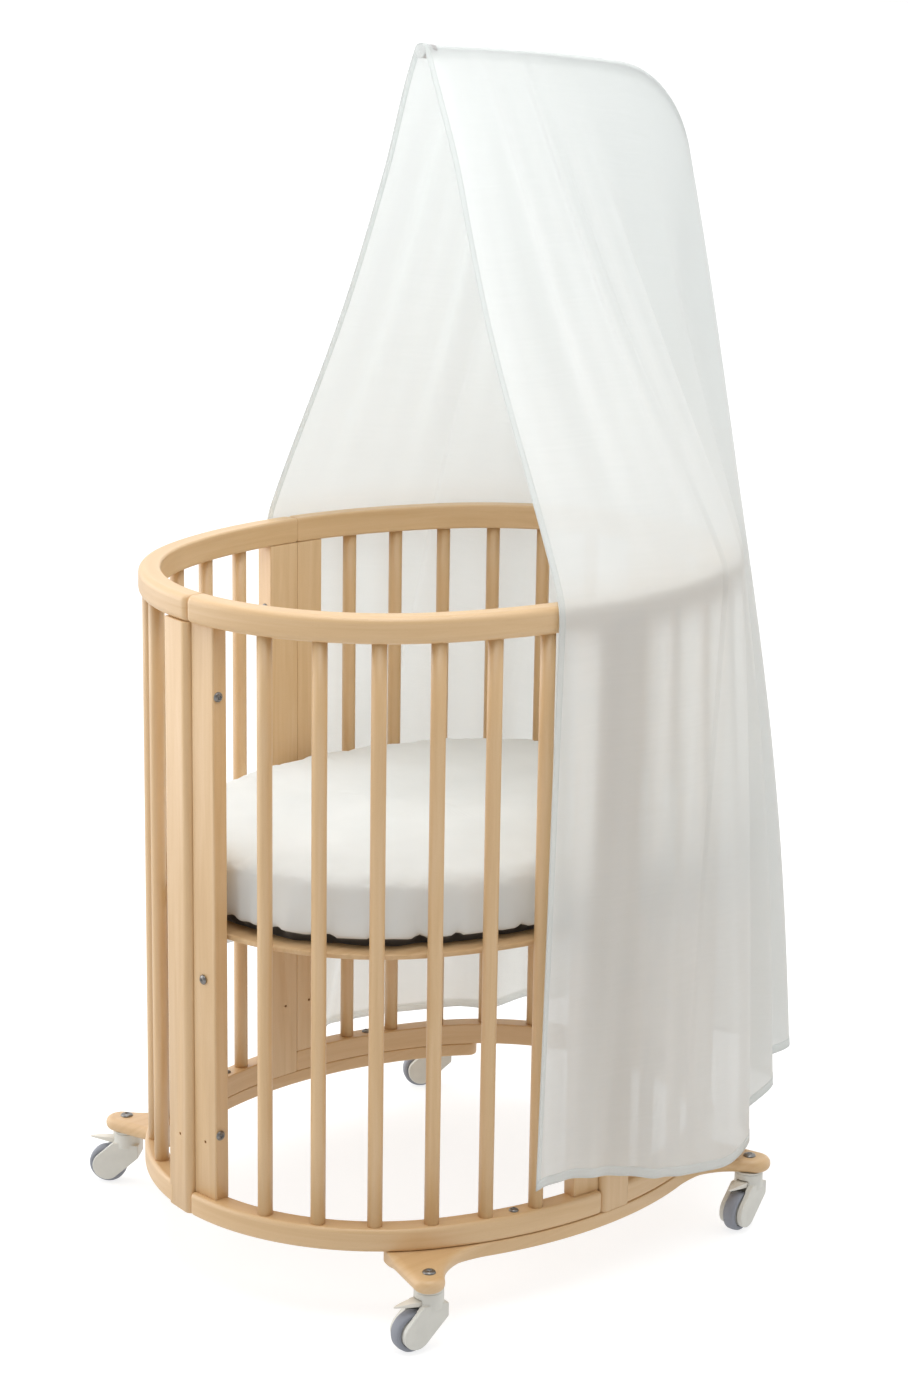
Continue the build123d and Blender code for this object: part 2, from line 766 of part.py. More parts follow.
def caster_stem():
    """Stem: domed head on the beam, shank through it, foot trapped in the drum."""
    bottom = drum_top - stem_depth
    height = rail_bottom - bottom - stem_foot_play
    shank = Pos(0, 0, rail_bottom - height / 2) * Cylinder(stem_radius, height)
    foot = Pos(0, 0, bottom + stem_foot_play + stem_foot_height / 2) * Cylinder(
        stem_foot_radius, stem_foot_height)
    return shank + foot + Pos(0, 0, rail_bottom) * pan_head(stem_head_radius, stem_head_height)


def make_casters():
    pieces = {
        "fork": caster_fork(),
        "axle": caster_axle(),
        "hub": caster_hub(),
        "tyre": caster_tyre(),
        "brake_lever": brake_lever(),
    }
    stems, collars = [], []
    collar = Pos(0, 0, beam_underside - collar_height / 2) * Cylinder(drum_radius, collar_height)
    collar -= Pos(0, 0, beam_underside) * Cylinder(stem_radius + bolt_clearance, 4 * collar_height)
    for name, (x_side, y_side, trail) in CASTERS.items():
        place = Pos(x_side * caster_x, y_side * caster_y, 0) * Rot(0, 0, trail)
        for piece, shape in pieces.items():
            write(f"{name}_caster_{piece}", place * shape)
        stems.append(place * caster_stem())
        collars.append(place * collar)
    write("caster_stems", stems)
    write("caster_collars", collars)


# Canopy rod
rod_x = half_length + rod_stand_off
rod_foot = holder_levels[0] - holder_height / 2 + holder_wall


def rod_path(lift=0.0):
    """Bend start, middle and end, and the arm's tip, in the plane y = 0.

    The lift moves all four outwards from the rod's axis.
    """
    turn = radians(rod_bend_angle)
    centre_x = rod_x - rod_bend_radius
    radius = rod_bend_radius + lift
    start = (centre_x + radius, rod_bend_start)
    bend_end = (centre_x + radius * cos(turn), rod_bend_start + radius * sin(turn))
    bend_mid = (centre_x + radius * cos(turn / 2), rod_bend_start + radius * sin(turn / 2))
    tip = (rod_tip_x, bend_end[1] + (bend_end[0] - rod_tip_x) / tan(turn))
    return start, bend_mid, bend_end, tip


def in_rod_plane(point):
    return (point[0], 0, point[1])


def canopy_rod():
    start, bend_mid, bend_end, tip = rod_path()
    foot = (rod_x, rod_foot)
    path = Wire([
        Line(in_rod_plane(foot), in_rod_plane(start)),
        ThreePointArc(in_rod_plane(start), in_rod_plane(bend_mid), in_rod_plane(bend_end)),
        Line(in_rod_plane(bend_end), in_rod_plane(tip)),
    ])
    section = Pos(rod_x, 0, rod_foot) * (Circle(rod_radius) - Circle(rod_bore_radius))
    return sweep(section, path)


def rod_holder(level, closed):
    """Holder: a sleeve round the rod and a tongue screwed to the broad post."""
    sleeve = Cylinder(rod_radius + holder_wall, holder_height)
    tongue_width = holder_tongue
    tongue = Pos(-rod_stand_off / 2, -tongue_width / 2, 0) * Box(
        rod_stand_off, tongue_width, holder_height)
    body = sleeve + tongue
    body = Pos(rod_x, 0, level) * body
    body = fillet([e for e in body.edges() if is_upright(e) and (e @ 0.5).Y < -holder_tongue + 1
                   and (e @ 0.5).X > half_length], 4)
    body -= mirror(quarter_band(-rail_thickness, 0, level - holder_height, level + holder_height),
                   Plane.XZ)
    body -= Pos(half_length - rail_thickness / 2, 0, level) * Box(
        rail_thickness, 2 * holder_tongue, 2 * holder_height)
    bore_bottom = level - holder_height / 2 + (holder_wall if closed else -1)
    body -= Pos(rod_x, 0, bore_bottom) * Cylinder(
        rod_radius + running_clearance, holder_height + 2, align=(Align.CENTER, Align.CENTER, Align.MIN))
    for dz in (-holder_height / 4, holder_height / 4):
        body -= holder_screw_shank(level + dz, bolt_clearance)
    return body


def make_canopy_rod():
    tip = rod_path()[-1]
    write("canopy_rod", canopy_rod())
    write("rod_holders", [rod_holder(level, level == holder_levels[0]) for level in holder_levels])
    screws = []
    for level in holder_screw_levels():
        head = Pos(rod_x, -holder_screw_inset, level) * Rot(0, 90, 0)
        screws.append(holder_screw_shank(level, 0) + head * pan_head(screw_head_radius, screw_head_height))
    write("rod_holder_screws", screws)
    pitch = 90 - rod_bend_angle
    cap = Pos(0, 0, tip_cap_length / 2 - tip_cap_grip) * Cylinder(
        rod_radius + tip_cap_wall, tip_cap_length)
    cap -= Pos(0, 0, -tip_cap_grip) * Cylinder(
        rod_radius + running_clearance, tip_cap_grip, align=(Align.CENTER, Align.CENTER, Align.MIN))
    cap = fillet(cap.edges().sort_by(Axis.Z)[-1], 2.5)
    write("rod_tip_cap", Pos(tip[0], 0, tip[1]) * Rot(0, -90 + pitch, 0) * cap)


# Drape
def ridge_point(share, lift):
    """Point over the rod at a share of the way from its tip to the bend's foot."""
    start, _, bend_end, tip = rod_path(lift)
    turn = radians(rod_bend_angle)
    front = (tip[0] + drape_ridge_set_back * sin(turn), tip[1] - drape_ridge_set_back * cos(turn))
    arm = hypot(bend_end[0] - front[0], bend_end[1] - front[1])
    bend = rod_bend_radius + lift
    run = share * (arm + bend * turn)
    if run < arm:
        part = run / arm
        return (front[0] + part * (bend_end[0] - front[0]), front[1] + part * (bend_end[1] - front[1]))
    angle = turn - (run - arm) / bend
    return (start[0] - bend + bend * cos(angle), start[1] + bend * sin(angle))


def about_flare(angle, reach, level):
    """Point at an angle and a reach about the middle of the hem's flare."""
    turn = radians(angle)
    return Vector(drape_flare_x + reach * cos(turn), reach * sin(turn), level)


def hung_in(rail, ridge, angle, hang):
    """Point halfway between rail and rod, moved towards the flare's middle."""
    turn = radians(angle)
    return (rail + ridge) / 2 - Vector(hang * cos(turn), hang * sin(turn), 0)


def drape_rings(inset):
    """Hem, rail, flank and ridge rings of the left half, from the front to the back.

    Each ring is a pair of curves: one along the crib's side, one round its
    head, where folds run from the ridge over the rails to the hem.
    """
    lift = rod_radius + drape_ridge_clearance + drape_thickness - inset
    half_strip = drape_ridge_half_width - inset
    radius = drape_flare_radius
    offset = drape_rail_gap + drape_thickness - inset
    hem, rails, flank, ridge = [], [], [], []
    for share, rail_angle, rail_reach, hem_angle, hem_reach, drop, hang in drape_folds:
        rails.append(about_flare(rail_angle, rail_reach * radius - inset, top_rail_top))
        x, z = ridge_point(share, lift)
        ridge.append(Vector(x, half_strip, z))
        flank.append(hung_in(rails[-1], ridge[-1], rail_angle, hang))
        hem.append(about_flare(hem_angle, hem_reach * radius - inset, drape_hem - drop))
    rails[0] = Vector(*end_arc_point(end_arc_half_angle, offset), top_rail_top)
    flank[-1].Y = 0
    rail_front = Vector(*side_arc_point(drape_front_x, offset), top_rail_top)
    rail_mid = Vector(*side_arc_point(drape_front_x / 2 + caster_x / 3, offset), top_rail_top)
    x, z = ridge_point(0, lift)
    ridge_front = Vector(x, half_strip, z)
    ridge_mid = (ridge_front + ridge[0]) / 2
    flank_front = hung_in(rail_front, ridge_front, 90, drape_sag)
    flank_mid = hung_in(rail_mid, ridge_mid, 90, drape_sag)
    hem_front = Vector(drape_hem_front_x, drape_hem_half_width - inset, drape_hem)
    sides = [
        Line(hem_front, hem[0]),
        ThreePointArc(rail_front, rail_mid, rails[0]),
        ThreePointArc(flank_front, flank_mid, flank[0]),
        Line(ridge_front, ridge[0]),
    ]
    across, downward = (0, -1, 0), (0, 0, -1)
    ends = [across, across, across, downward]
    return [
        [side, Spline(*points, tangents=[side % 1, end])]
        for side, points, end in zip(sides, (hem, rails, flank, ridge), ends)
    ]


def drape_faces(rings):
    """Cloth between the rings, with the strip along the ridge and its back."""
    faces = []
    for lower, upper in zip(rings, rings[1:]):
        for below, above in zip(lower, upper):
            faces.append(Face.make_surface_from_curves(below.edge(), above.edge()))
    arm, bend = rings[-1]
    for curve in (arm, bend):
        middle = Pos(0, -(curve @ 0).Y, 0) * curve
        faces.append(Face.make_surface_from_curves(curve.edge(), middle.edge()))
    back = rings[-2][1] @ 1
    corner = bend @ 1
    faces.append(make_face([
        Line(back, corner), Line(corner, (corner.X, 0, corner.Z)), Line((corner.X, 0, corner.Z), back),
    ]).face())
    return faces


def canopy_drape():
    """Tent of cloth: flared below the rails, falling to the rod above them."""
    outer, inner = drape_rings(0), drape_rings(drape_thickness)
    faces = drape_faces(outer) + drape_faces(inner)
    for out_curve, in_curve in zip(outer[0], inner[0]):
        faces.append(Face.make_surface_from_curves(out_curve.edge(), in_curve.edge()))
    fronts = [[ring[0] @ 0 for ring in rings] for rings in (outer, inner)]
    for points in fronts:
        points.append(Vector(points[-1].X, 0, points[-1].Z))
    for (a, b), (c, d) in zip(zip(fronts[0], fronts[0][1:]), zip(fronts[1], fronts[1][1:])):
        faces.append(Face.make_surface_from_curves(Line(a, b).edge(), Line(c, d).edge()))
    faces += [face.mirror(Plane.XZ) for face in faces]
    return Solid(Shell(faces))


make_panels()
make_panel_fasteners()
make_base_and_mattress()
make_beams()
make_casters()
make_canopy_rod()
write("canopy_drape", canopy_drape())
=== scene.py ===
"""Oval beech crib on casters with a voile drape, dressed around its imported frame.

Metres. Origin on the floor under the centre of the oval, +X to the head end
where the drape's rod stands, +Y to the left side, +Z up.
"""

import bmesh
import bpy
import numpy as np
from mathutils import Matrix, Vector


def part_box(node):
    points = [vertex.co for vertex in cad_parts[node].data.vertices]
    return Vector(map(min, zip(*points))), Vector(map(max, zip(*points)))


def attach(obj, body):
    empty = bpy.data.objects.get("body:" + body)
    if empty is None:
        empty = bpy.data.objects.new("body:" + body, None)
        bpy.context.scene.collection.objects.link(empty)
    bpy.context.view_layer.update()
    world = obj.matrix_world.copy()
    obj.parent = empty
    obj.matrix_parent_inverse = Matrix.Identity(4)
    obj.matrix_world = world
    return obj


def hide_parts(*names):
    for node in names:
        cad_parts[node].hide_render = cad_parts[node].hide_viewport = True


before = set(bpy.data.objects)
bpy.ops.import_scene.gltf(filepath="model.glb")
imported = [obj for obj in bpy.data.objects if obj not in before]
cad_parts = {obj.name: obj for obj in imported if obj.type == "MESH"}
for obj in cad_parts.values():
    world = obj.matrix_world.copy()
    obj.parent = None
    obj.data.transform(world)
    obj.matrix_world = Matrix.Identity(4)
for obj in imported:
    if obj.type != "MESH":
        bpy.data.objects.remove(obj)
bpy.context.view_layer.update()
scene = bpy.context.scene
scene.view_settings.view_transform = "Standard"


# ---------------------------------------------------------------- camera
# Standing height, at the foot end's right corner, turned to the oval's middle.
eye = Vector((-2.3491, -2.703, 1.5993))
yaw, pitch, roll = 0.7203, 0.2515, 0.0148
focal_length = 76.6307
ahead = Vector((np.sin(yaw) * np.cos(pitch), np.cos(yaw) * np.cos(pitch), -np.sin(pitch)))
level = Vector((np.cos(yaw), -np.sin(yaw), 0))
right = Matrix.Rotation(-roll, 3, ahead) @ level
up = right.cross(ahead)
camera = bpy.data.objects.new("camera", bpy.data.cameras.new("camera"))
camera.data.sensor_width = 36
camera.data.lens = focal_length
camera.data.clip_end = 200
camera.matrix_world = Matrix.Translation(eye) @ Matrix((right, up, -ahead)).transposed().to_4x4()
scene.collection.objects.link(camera)
scene.camera = camera


# ---------------------------------------------------------------- studio
# White floor that runs past every edge of the view, and a wide soft sky: bright
# behind and left of the crib, dim on the camera's side, as between two softboxes.
floor_reach = 60
floor_mesh = bpy.data.meshes.new("floor")
corners = np.array([(-1, -1, 0), (1, -1, 0), (1, 1, 0), (-1, 1, 0)]) * floor_reach
floor_mesh.from_pydata(corners.tolist(), [], [(0, 1, 2, 3)])
floor = bpy.data.objects.new("floor", floor_mesh)
scene.collection.objects.link(floor)

floor_paint = bpy.data.materials.new("floor paint")
floor_paint.use_nodes = True
shader = floor_paint.node_tree.nodes["Principled BSDF"]
shader.inputs["Base Color"].default_value = (0.4, 0.4, 0.4, 1)
shader.inputs["Roughness"].default_value = 0.9
shader.inputs["Specular IOR Level"].default_value = 0.1
shader.inputs["Emission Color"].default_value = (1, 1, 1, 1)
floor_mesh.materials.append(floor_paint)

world = bpy.data.worlds.new("studio")
scene.world = world
world.use_nodes = True
tree = world.node_tree
tree.nodes.clear()


def link(tree, *ends):
    """Joins an output socket to an input socket, given as node, name pairs."""
    (source, out), (target, into) = ends
    tree.links.new(source.outputs[out], target.inputs[into])


# the sky brightens smoothly with the cosine to its bright side
bright_side = (0.64, 0.70, 0.32)
direction = tree.nodes.new("ShaderNodeTexCoord")
facing = tree.nodes.new("ShaderNodeVectorMath")
facing.operation = "DOT_PRODUCT"
facing.inputs[1].default_value = bright_side
glow = tree.nodes.new("ShaderNodeMapRange")
glow.interpolation_type = "SMOOTHSTEP"
for socket, value in (("From Min", -0.8), ("From Max", 0.35), ("To Min", 0.33), ("To Max", 1.06)):
    glow.inputs[socket].default_value = value
sky = tree.nodes.new("ShaderNodeBackground")
sky.inputs["Color"].default_value = (1, 1, 1, 1)
wall = tree.nodes.new("ShaderNodeBackground")
wall.inputs["Color"].default_value = (1, 1, 1, 1)
rays = tree.nodes.new("ShaderNodeLightPath")
mixed = tree.nodes.new("ShaderNodeMixShader")
output = tree.nodes.new("ShaderNodeOutputWorld")
link(tree, (direction, "Generated"), (facing, 0))
link(tree, (facing, "Value"), (glow, "Value"))
link(tree, (glow, "Result"), (sky, "Strength"))
link(tree, (rays, "Is Camera Ray"), (mixed, 0))
link(tree, (sky, 0), (mixed, 1))
link(tree, (wall, 0), (mixed, 2))
link(tree, (mixed, 0), (output, 0))

# the floor looks paper white to the camera and throws back less light than that
tree = floor_paint.node_tree
rays = tree.nodes.new("ShaderNodeLightPath")
lit = tree.nodes.new("ShaderNodeMapRange")
lit.inputs["To Min"].default_value = 0.45
lit.inputs["To Max"].default_value = 0.74
link(tree, (rays, "Is Camera Ray"), (lit, "Value"))
link(tree, (lit, "Result"), (shader, "Emission Strength"))

light_target = Vector((0, 0, 0.6))
for name, place, size, power in (
    ("left light", (-2.3, 3.0, 1.5), 4.5, 72),
    ("front light", (-0.5, -0.6, 2.5), 1.4, 13),
    ("top light", (0.6, 1.2, 4.0), 3.0, 24),
):
    lamp = bpy.data.objects.new(name, bpy.data.lights.new(name, "AREA"))
    lamp.data.shape = "DISK"
    lamp.data.size = size
    lamp.data.energy = power
    lamp.location = place
    lamp.rotation_euler = (light_target - Vector(place)).to_track_quat("-Z", "Y").to_euler()
    scene.collection.objects.link(lamp)


# ---------------------------------------------------------------- rails
# Four quarter handrails and four quarter bottom rails, bent beech with a fine
# straight grain. The outer edges and the ends are bull-nosed; they butt at
# the seams on the oval's two axes.
rail_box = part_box("head_left_top_rail")
half_length, half_width = rail_box[1].x, rail_box[1].y
rail_thickness = 0.027
end_angle = np.radians(65)
end_x = (half_length - half_width) / (1 - 1 / np.cos(end_angle) + np.tan(end_angle))
side_y = end_x * np.tan(end_angle)
end_r = half_length - end_x
side_r = end_r + end_x / np.cos(end_angle)
end_run = end_r * end_angle
quarter_run = end_run + side_r * (np.pi / 2 - end_angle)


def oval(run, offset):
    """Plan point at a distance along the rails' outer face from the X axis.

    Two arcs that meet on a tangent: a tight one about (end_x, 0) and a flat
    one about (0, -side_y); the offset is added to both radii.
    """
    tight = run < end_run
    angle = np.where(tight, run / end_r, end_angle + (run - end_run) / side_r)
    radius = np.where(tight, end_r, side_r) + offset
    return (
        np.where(tight, end_x, 0) + radius * np.cos(angle),
        np.where(tight, 0, -side_y) + radius * np.sin(angle),
    )


def rounded_rings(low_a, high_a, low_b, high_b, radii, steps=5, hold=0.0006):
    """Rows of rectangles in a plane (a, b) whose corners are quarter circles.

    Every size may be an array with one value for each row. Two more points a
    little way along the flats hold each flat's shading flat.
    """
    sizes = np.broadcast_arrays(*[np.asarray(x, float) for x in (low_a, high_a, low_b, high_b)])
    low_a, high_a, low_b, high_b = [x.reshape(-1, 1) for x in sizes]
    a, b = [], []
    for corner, radius in enumerate(radii):
        radius = np.asarray(radius, float).reshape(-1, 1)
        turn = np.radians(90 * corner + np.linspace(0, 90, steps + 1))
        centre_a = high_a - radius if corner in (0, 3) else low_a + radius
        centre_b = high_b - radius if corner in (0, 1) else low_b + radius
        arc_a = centre_a + radius * np.cos(turn)
        arc_b = centre_b + radius * np.sin(turn)
        first, last = turn[0], turn[-1]
        a += [arc_a[:, :1] + hold * np.sin(first), arc_a, arc_a[:, -1:] - hold * np.sin(last)]
        b += [arc_b[:, :1] - hold * np.cos(first), arc_b, arc_b[:, -1:] + hold * np.cos(last)]
    return np.hstack(a), np.hstack(b)


def skin(rings, along, caps=True):
    """Tube over a stack of closed rings, with its ends closed by flat faces.

    Point (i, j) joins (i, j + 1) and (i + 1, j). The grain coordinates are
    metres along the tube and round it.
    """
    count, size = rings.shape[:2]
    middle = rings[count // 2]
    steps = np.linalg.norm(np.roll(middle, -1, 0) - middle, axis=1)
    around = np.concatenate([[0], np.cumsum(steps)])
    i, j = np.meshgrid(np.arange(count - 1), np.arange(size), indexing="ij")
    k = (j + 1) % size
    faces = np.stack([i * size + j, i * size + k, (i + 1) * size + k, (i + 1) * size + j], -1)
    u = np.stack([along[i], along[i], along[i + 1], along[i + 1]], -1)
    v = np.stack([around[j], around[j + 1], around[j + 1], around[j]], -1)
    faces = faces.reshape(-1, 4).tolist()
    grain = np.stack([u, v], -1).reshape(-1, 2)
    if caps:
        ends = [np.arange(size)[::-1], (count - 1) * size + np.arange(size)]
        faces += [end.tolist() for end in ends]
        flat = rings[:, :, :2].reshape(-1, 2)
        grain = np.concatenate([grain, flat[ends[0]], flat[ends[1]]])
    return rings.reshape(-1, 3), faces, grain


def smooth_shaded(mesh):
    """Shades every face of a mesh smoothly."""
    mesh.polygons.foreach_set("use_smooth", np.ones(len(mesh.polygons), bool))


def closed_mesh(name, skins, uv_name=None, merge=False):
    """Smooth mesh of closed skins, its faces turned outwards, with their UV map if it is named."""
    points, faces, grain, start = [], [], [], 0
    for skin_points, skin_faces, skin_grain in skins:
        points.append(skin_points)
        faces += [[start + v for v in face] for face in skin_faces]
        grain.append(skin_grain)
        start += len(skin_points)
    mesh = bpy.data.meshes.new(name)
    mesh.from_pydata(np.concatenate(points), [], faces)
    if uv_name:
        layer = mesh.uv_layers.new(name=uv_name)
        layer.data.foreach_set("uv", np.concatenate(grain).astype(np.float32).ravel())
    smooth_shaded(mesh)
    shell = bmesh.new()
    shell.from_mesh(mesh)
    if merge:
        bmesh.ops.remove_doubles(shell, verts=shell.verts, dist=1e-6)
    bmesh.ops.recalc_face_normals(shell, faces=shell.faces)
    shell.to_mesh(mesh)
    shell.free()
    return mesh


def linked(name, mesh):
    """New object with a mesh, in the scene."""
    made = bpy.data.objects.new(name, mesh)
    scene.collection.objects.link(made)
    return made


def fitted(name, mesh, material, stands_for, body="crib"):
    """Piece with one material that rides on a body and stands for CAD nodes."""
    mesh.materials.clear()
    mesh.materials.append(material)
    made = linked(name, mesh)
    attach(made, body)
    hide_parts(*stands_for)
    return made


def piece(name, skins, material, stands_for):
    """Piece on the crib's own body from several closed skins with a grain."""
    return fitted(name, closed_mesh(name, skins, "grain"), material, stands_for)


def new_material(name, roughness, **values):
    """Material with a Principled shader, its fixed values set on the shader."""
    material = bpy.data.materials.new(name)
    material.use_nodes = True
    shader = material.node_tree.nodes["Principled BSDF"]
    shader.inputs["Roughness"].default_value = roughness
    for socket, value in values.items():
        shader.inputs[socket.replace("_", " ")].default_value = value
    return material, material.node_tree, shader


def own_place(tree):
    """Coordinate in the object's own space."""
    return tree.nodes.new("ShaderNodeTexCoord").outputs["Object"]


def mapped_place(tree, uv_name):
    """Coordinate from the piece's own UV map."""
    node = tree.nodes.new("ShaderNodeUVMap")
    node.uv_map = uv_name
    return node.outputs[0]


def stretched(tree, source, scale):
    """Mapping node that scales a coordinate."""
    mapping = tree.nodes.new("ShaderNodeMapping")
    mapping.inputs["Scale"].default_value = scale
    tree.links.new(source, mapping.inputs["Vector"])
    return mapping.outputs[0]


def noise(tree, vector, scale, detail, roughness, distortion=0.0):
    """Noise texture's value at a coordinate."""
    texture = tree.nodes.new("ShaderNodeTexNoise")
    for socket, value in (("Scale", scale), ("Detail", detail), ("Roughness", roughness),
                          ("Distortion", distortion)):
        texture.inputs[socket].default_value = value
    tree.links.new(vector, texture.inputs["Vector"])
    return texture.outputs["Fac"]


def ramp(tree, value, *stops):
    """Colour ramp through (position, colour) stops."""
    node = tree.nodes.new("ShaderNodeValToRGB")
    elements = node.color_ramp.elements
    while len(elements) < len(stops):
        elements.new(0.5)
    for element, (position, colour) in zip(elements, stops):
        element.position = position
        element.color = (*colour, 1)
    tree.links.new(value, node.inputs[0])
    return node.outputs[0]


def blended(tree, mode, amount, first, second):
    """Mix of two colours; the amount is a number or a socket."""
    node = tree.nodes.new("ShaderNodeMix")
    node.data_type = "RGBA"
    node.blend_type = mode
    if isinstance(amount, float):
        node.inputs["Factor"].default_value = amount
    else:
        tree.links.new(amount, node.inputs["Factor"])
    tree.links.new(first, node.inputs["A"])
    if isinstance(second, tuple):
        node.inputs["B"].default_value = (*second, 1)
    else:
        tree.links.new(second, node.inputs["B"])
    return node.outputs["Result"]


def bumped(tree, shader, height, strength, distance):
    """Bump from a height, on the shader's normal."""
    node = tree.nodes.new("ShaderNodeBump")
    node.inputs["Strength"].default_value = strength
    node.inputs["Distance"].default_value = distance
    tree.links.new(height, node.inputs["Height"])
    tree.links.new(node.outputs[0], shader.inputs["Normal"])


def banded(tree, place, scale, pale, mid, deep):
    """Beech's tone: soft bands along the grain, from deep to pale."""
    bands = noise(tree, stretched(tree, place, scale), 1.0, 4, 0.55, 0.5)
    return ramp(tree, bands, (0.25, deep), (0.5, mid), (0.78, pale))


def wood(name, pale, mid, deep):
    """Oiled beech: soft bands along the grain, short dark flecks and fine pores.

    Each pattern is stretched along the grain: its scales are repeats to the metre.
    """
    material, tree, shader = new_material(name, 0.48, Specular_IOR_Level=0.75, Coat_Weight=0.6,
                                          Coat_Roughness=0.4)
    grain = mapped_place(tree, "grain")
    tone = banded(tree, grain, (5, 95, 1), pale, mid, deep)
    flecks = noise(tree, stretched(tree, grain, (420, 2600, 1)), 1.0, 1, 0.4)
    fleck_mask = ramp(tree, flecks, (0.66, (0, 0, 0)), (0.74, (1, 1, 1)))
    pores = noise(tree, stretched(tree, grain, (60, 3400, 1)), 1.0, 2, 0.6)
    pore_tone = ramp(tree, pores, (0.3, (0.93, 0.9, 0.87)), (0.7, (1, 1, 1)))
    tone = blended(tree, "MULTIPLY", 0.55, tone, pore_tone)
    dark = tuple(0.72 * value for value in deep)
    scaled = tree.nodes.new("ShaderNodeMath")
    scaled.operation = "MULTIPLY"
    scaled.inputs[1].default_value = 0.45
    tree.links.new(fleck_mask, scaled.inputs[0])
    tone = blended(tree, "MIX", scaled.outputs[0], tone, dark)
    tree.links.new(tone, shader.inputs["Base Color"])
    bumped(tree, shader, pores, 0.12, 0.0002)
    return material


beech = wood("oiled beech", (0.765, 0.53, 0.295), (0.72, 0.48, 0.24), (0.67, 0.43, 0.20))

# end, side, and whether the panel carries the broad posts
quadrants = {
    "head_left": (1, 1, False),
    "foot_right": (-1, -1, False),
    "head_right": (1, -1, True),
    "foot_left": (-1, 1, True),
}
broad_width, slim_width, slim_setback = 0.046, 0.039, 0.008
handrail_rounds, foot_rail_rounds = (0.008, 0.003), (0.005, 0.002)
# the broad panels' bottom rails end inside their broad posts
seam_allowance, side_allowance = 0.040, 0.042
# rows crowd towards a rail's end, and run evenly between its two end zones
end_zone = 0.016
end_rows = np.array([0, 0.0003, 0.0008, 0.0016, 0.0026, 0.004, 0.0056, 0.0074, 0.0092, 0.012])


def heights(node):
    """Lowest and highest level of a CAD node."""
    return [corner.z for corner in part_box(node)]


def nose(distance, radius):
    """How far a quarter-round end has drawn in at a distance d: r - sqrt(r^2 - (r - d)^2)."""
    reach = np.clip(radius - distance, 0, radius)
    return radius - np.sqrt(radius**2 - reach**2)


def quarter_rail(low, high, start, end, rounds, nosed, sign_x, sign_y, seed):
    """Rounded section carried along a quarter of the oval, drawn in at its ends.

    A nosed end draws in outside by its outer round; a butted one is only eased.
    """
    outer, inner = rounds
    outside, upright, inside = (outer, 0.0035, 0.0008) if nosed else (0.001, 0.0005, 0.0008)
    middle = np.linspace(start + end_zone, end - end_zone, 84)
    runs = np.concatenate([start + end_rows, middle, end - end_rows[::-1]])
    distance = np.minimum(runs - start, end - runs)
    edge = nose(distance, upright)
    offset, height = rounded_rings(
        -rail_thickness + nose(distance, inside), -nose(distance, outside), low + edge, high - edge,
        (outer, inner, inner, outer))
    x, y = oval(runs[:, None], offset)
    return skin(np.stack([sign_x * x, sign_y * y, height], -1), runs + seed)


for number, (panel, (sign_x, sign_y, broad)) in enumerate(quadrants.items()):
    inside_posts = (seam_allowance, quarter_run - side_allowance)
    whole = (0, quarter_run)
    for name, node, rounds, nosed, ends, seed in (
        ("handrail", "top_rail", handrail_rounds, True, whole, 3 * number),
        ("foot_rail", "bottom_rail", foot_rail_rounds, not broad, inside_posts if broad else whole,
         3 * number + 1.4),
    ):
        low, high = heights(f"{panel}_{node}")
        rail = quarter_rail(low, high, *ends, rounds, nosed, sign_x, sign_y, seed)
        piece(f"{panel}_{name}", [rail], beech, [f"{panel}_{node}"])


# ---------------------------------------------------------------- posts
# Uprights at the panels' ends. At each seam a broad post, flush with the
# rails and nosed towards the seam, meets a slim one set back on the outside.
post_bevel, seam_gap = 0.0005, 0.0002


def post(along_end, low, high, broad, sign_x, sign_y, end_seam, seed):
    """Upright prism: a rounded rectangle between the rails' two arcs.

    At a seam on the X axis x = end_x + sqrt((end_r + offset)^2 - y^2), and at
    one on the Y axis y = sqrt((side_r + offset)^2 - x^2) - side_y.
    """
    levels = np.array([low, low + post_bevel, (low + high) / 2, high - post_bevel, high])
    inset = np.array([post_bevel, 0, 0, 0, post_bevel])
    outer = 0 if broad else -slim_setback
    far_edge, nose_edge, seam_edge, inner_edge = 0.002, (0.009 if broad else 0.0015), 0.001, 0.0015
    along, offset = rounded_rings(
        seam_gap + inset, along_end - inset, -rail_thickness + inset, outer - inset,
        (far_edge, nose_edge, seam_edge, inner_edge))
    if end_seam:
        y = along
        x = end_x + np.sqrt((end_r + offset) ** 2 - y**2)
    else:
        x = along
        y = np.sqrt((side_r + offset) ** 2 - x**2) - side_y
    z = np.broadcast_to(levels[:, None], x.shape)
    return skin(np.stack([sign_x * x, sign_y * y, z], -1), levels + seed)


def solid_of(name, rings_list):
    """Temporary object from closed ring stacks."""
    return linked(name, closed_mesh(name, [skin(rings, np.zeros(len(rings))) for rings in rings_list]))


def joined(target, helper, kind):
    """Adds a helper's solid to a target, or takes it away, as a live modifier."""
    step = target.modifiers.new(helper.name, "BOOLEAN")
    step.operation = kind
    step.object = helper
    step.solver = "EXACT"


def applied(target):
    """Mesh of an object with its modifiers applied."""
    bpy.context.view_layer.update()
    return bpy.data.meshes.new_from_object(target.evaluated_get(bpy.context.evaluated_depsgraph_get()))


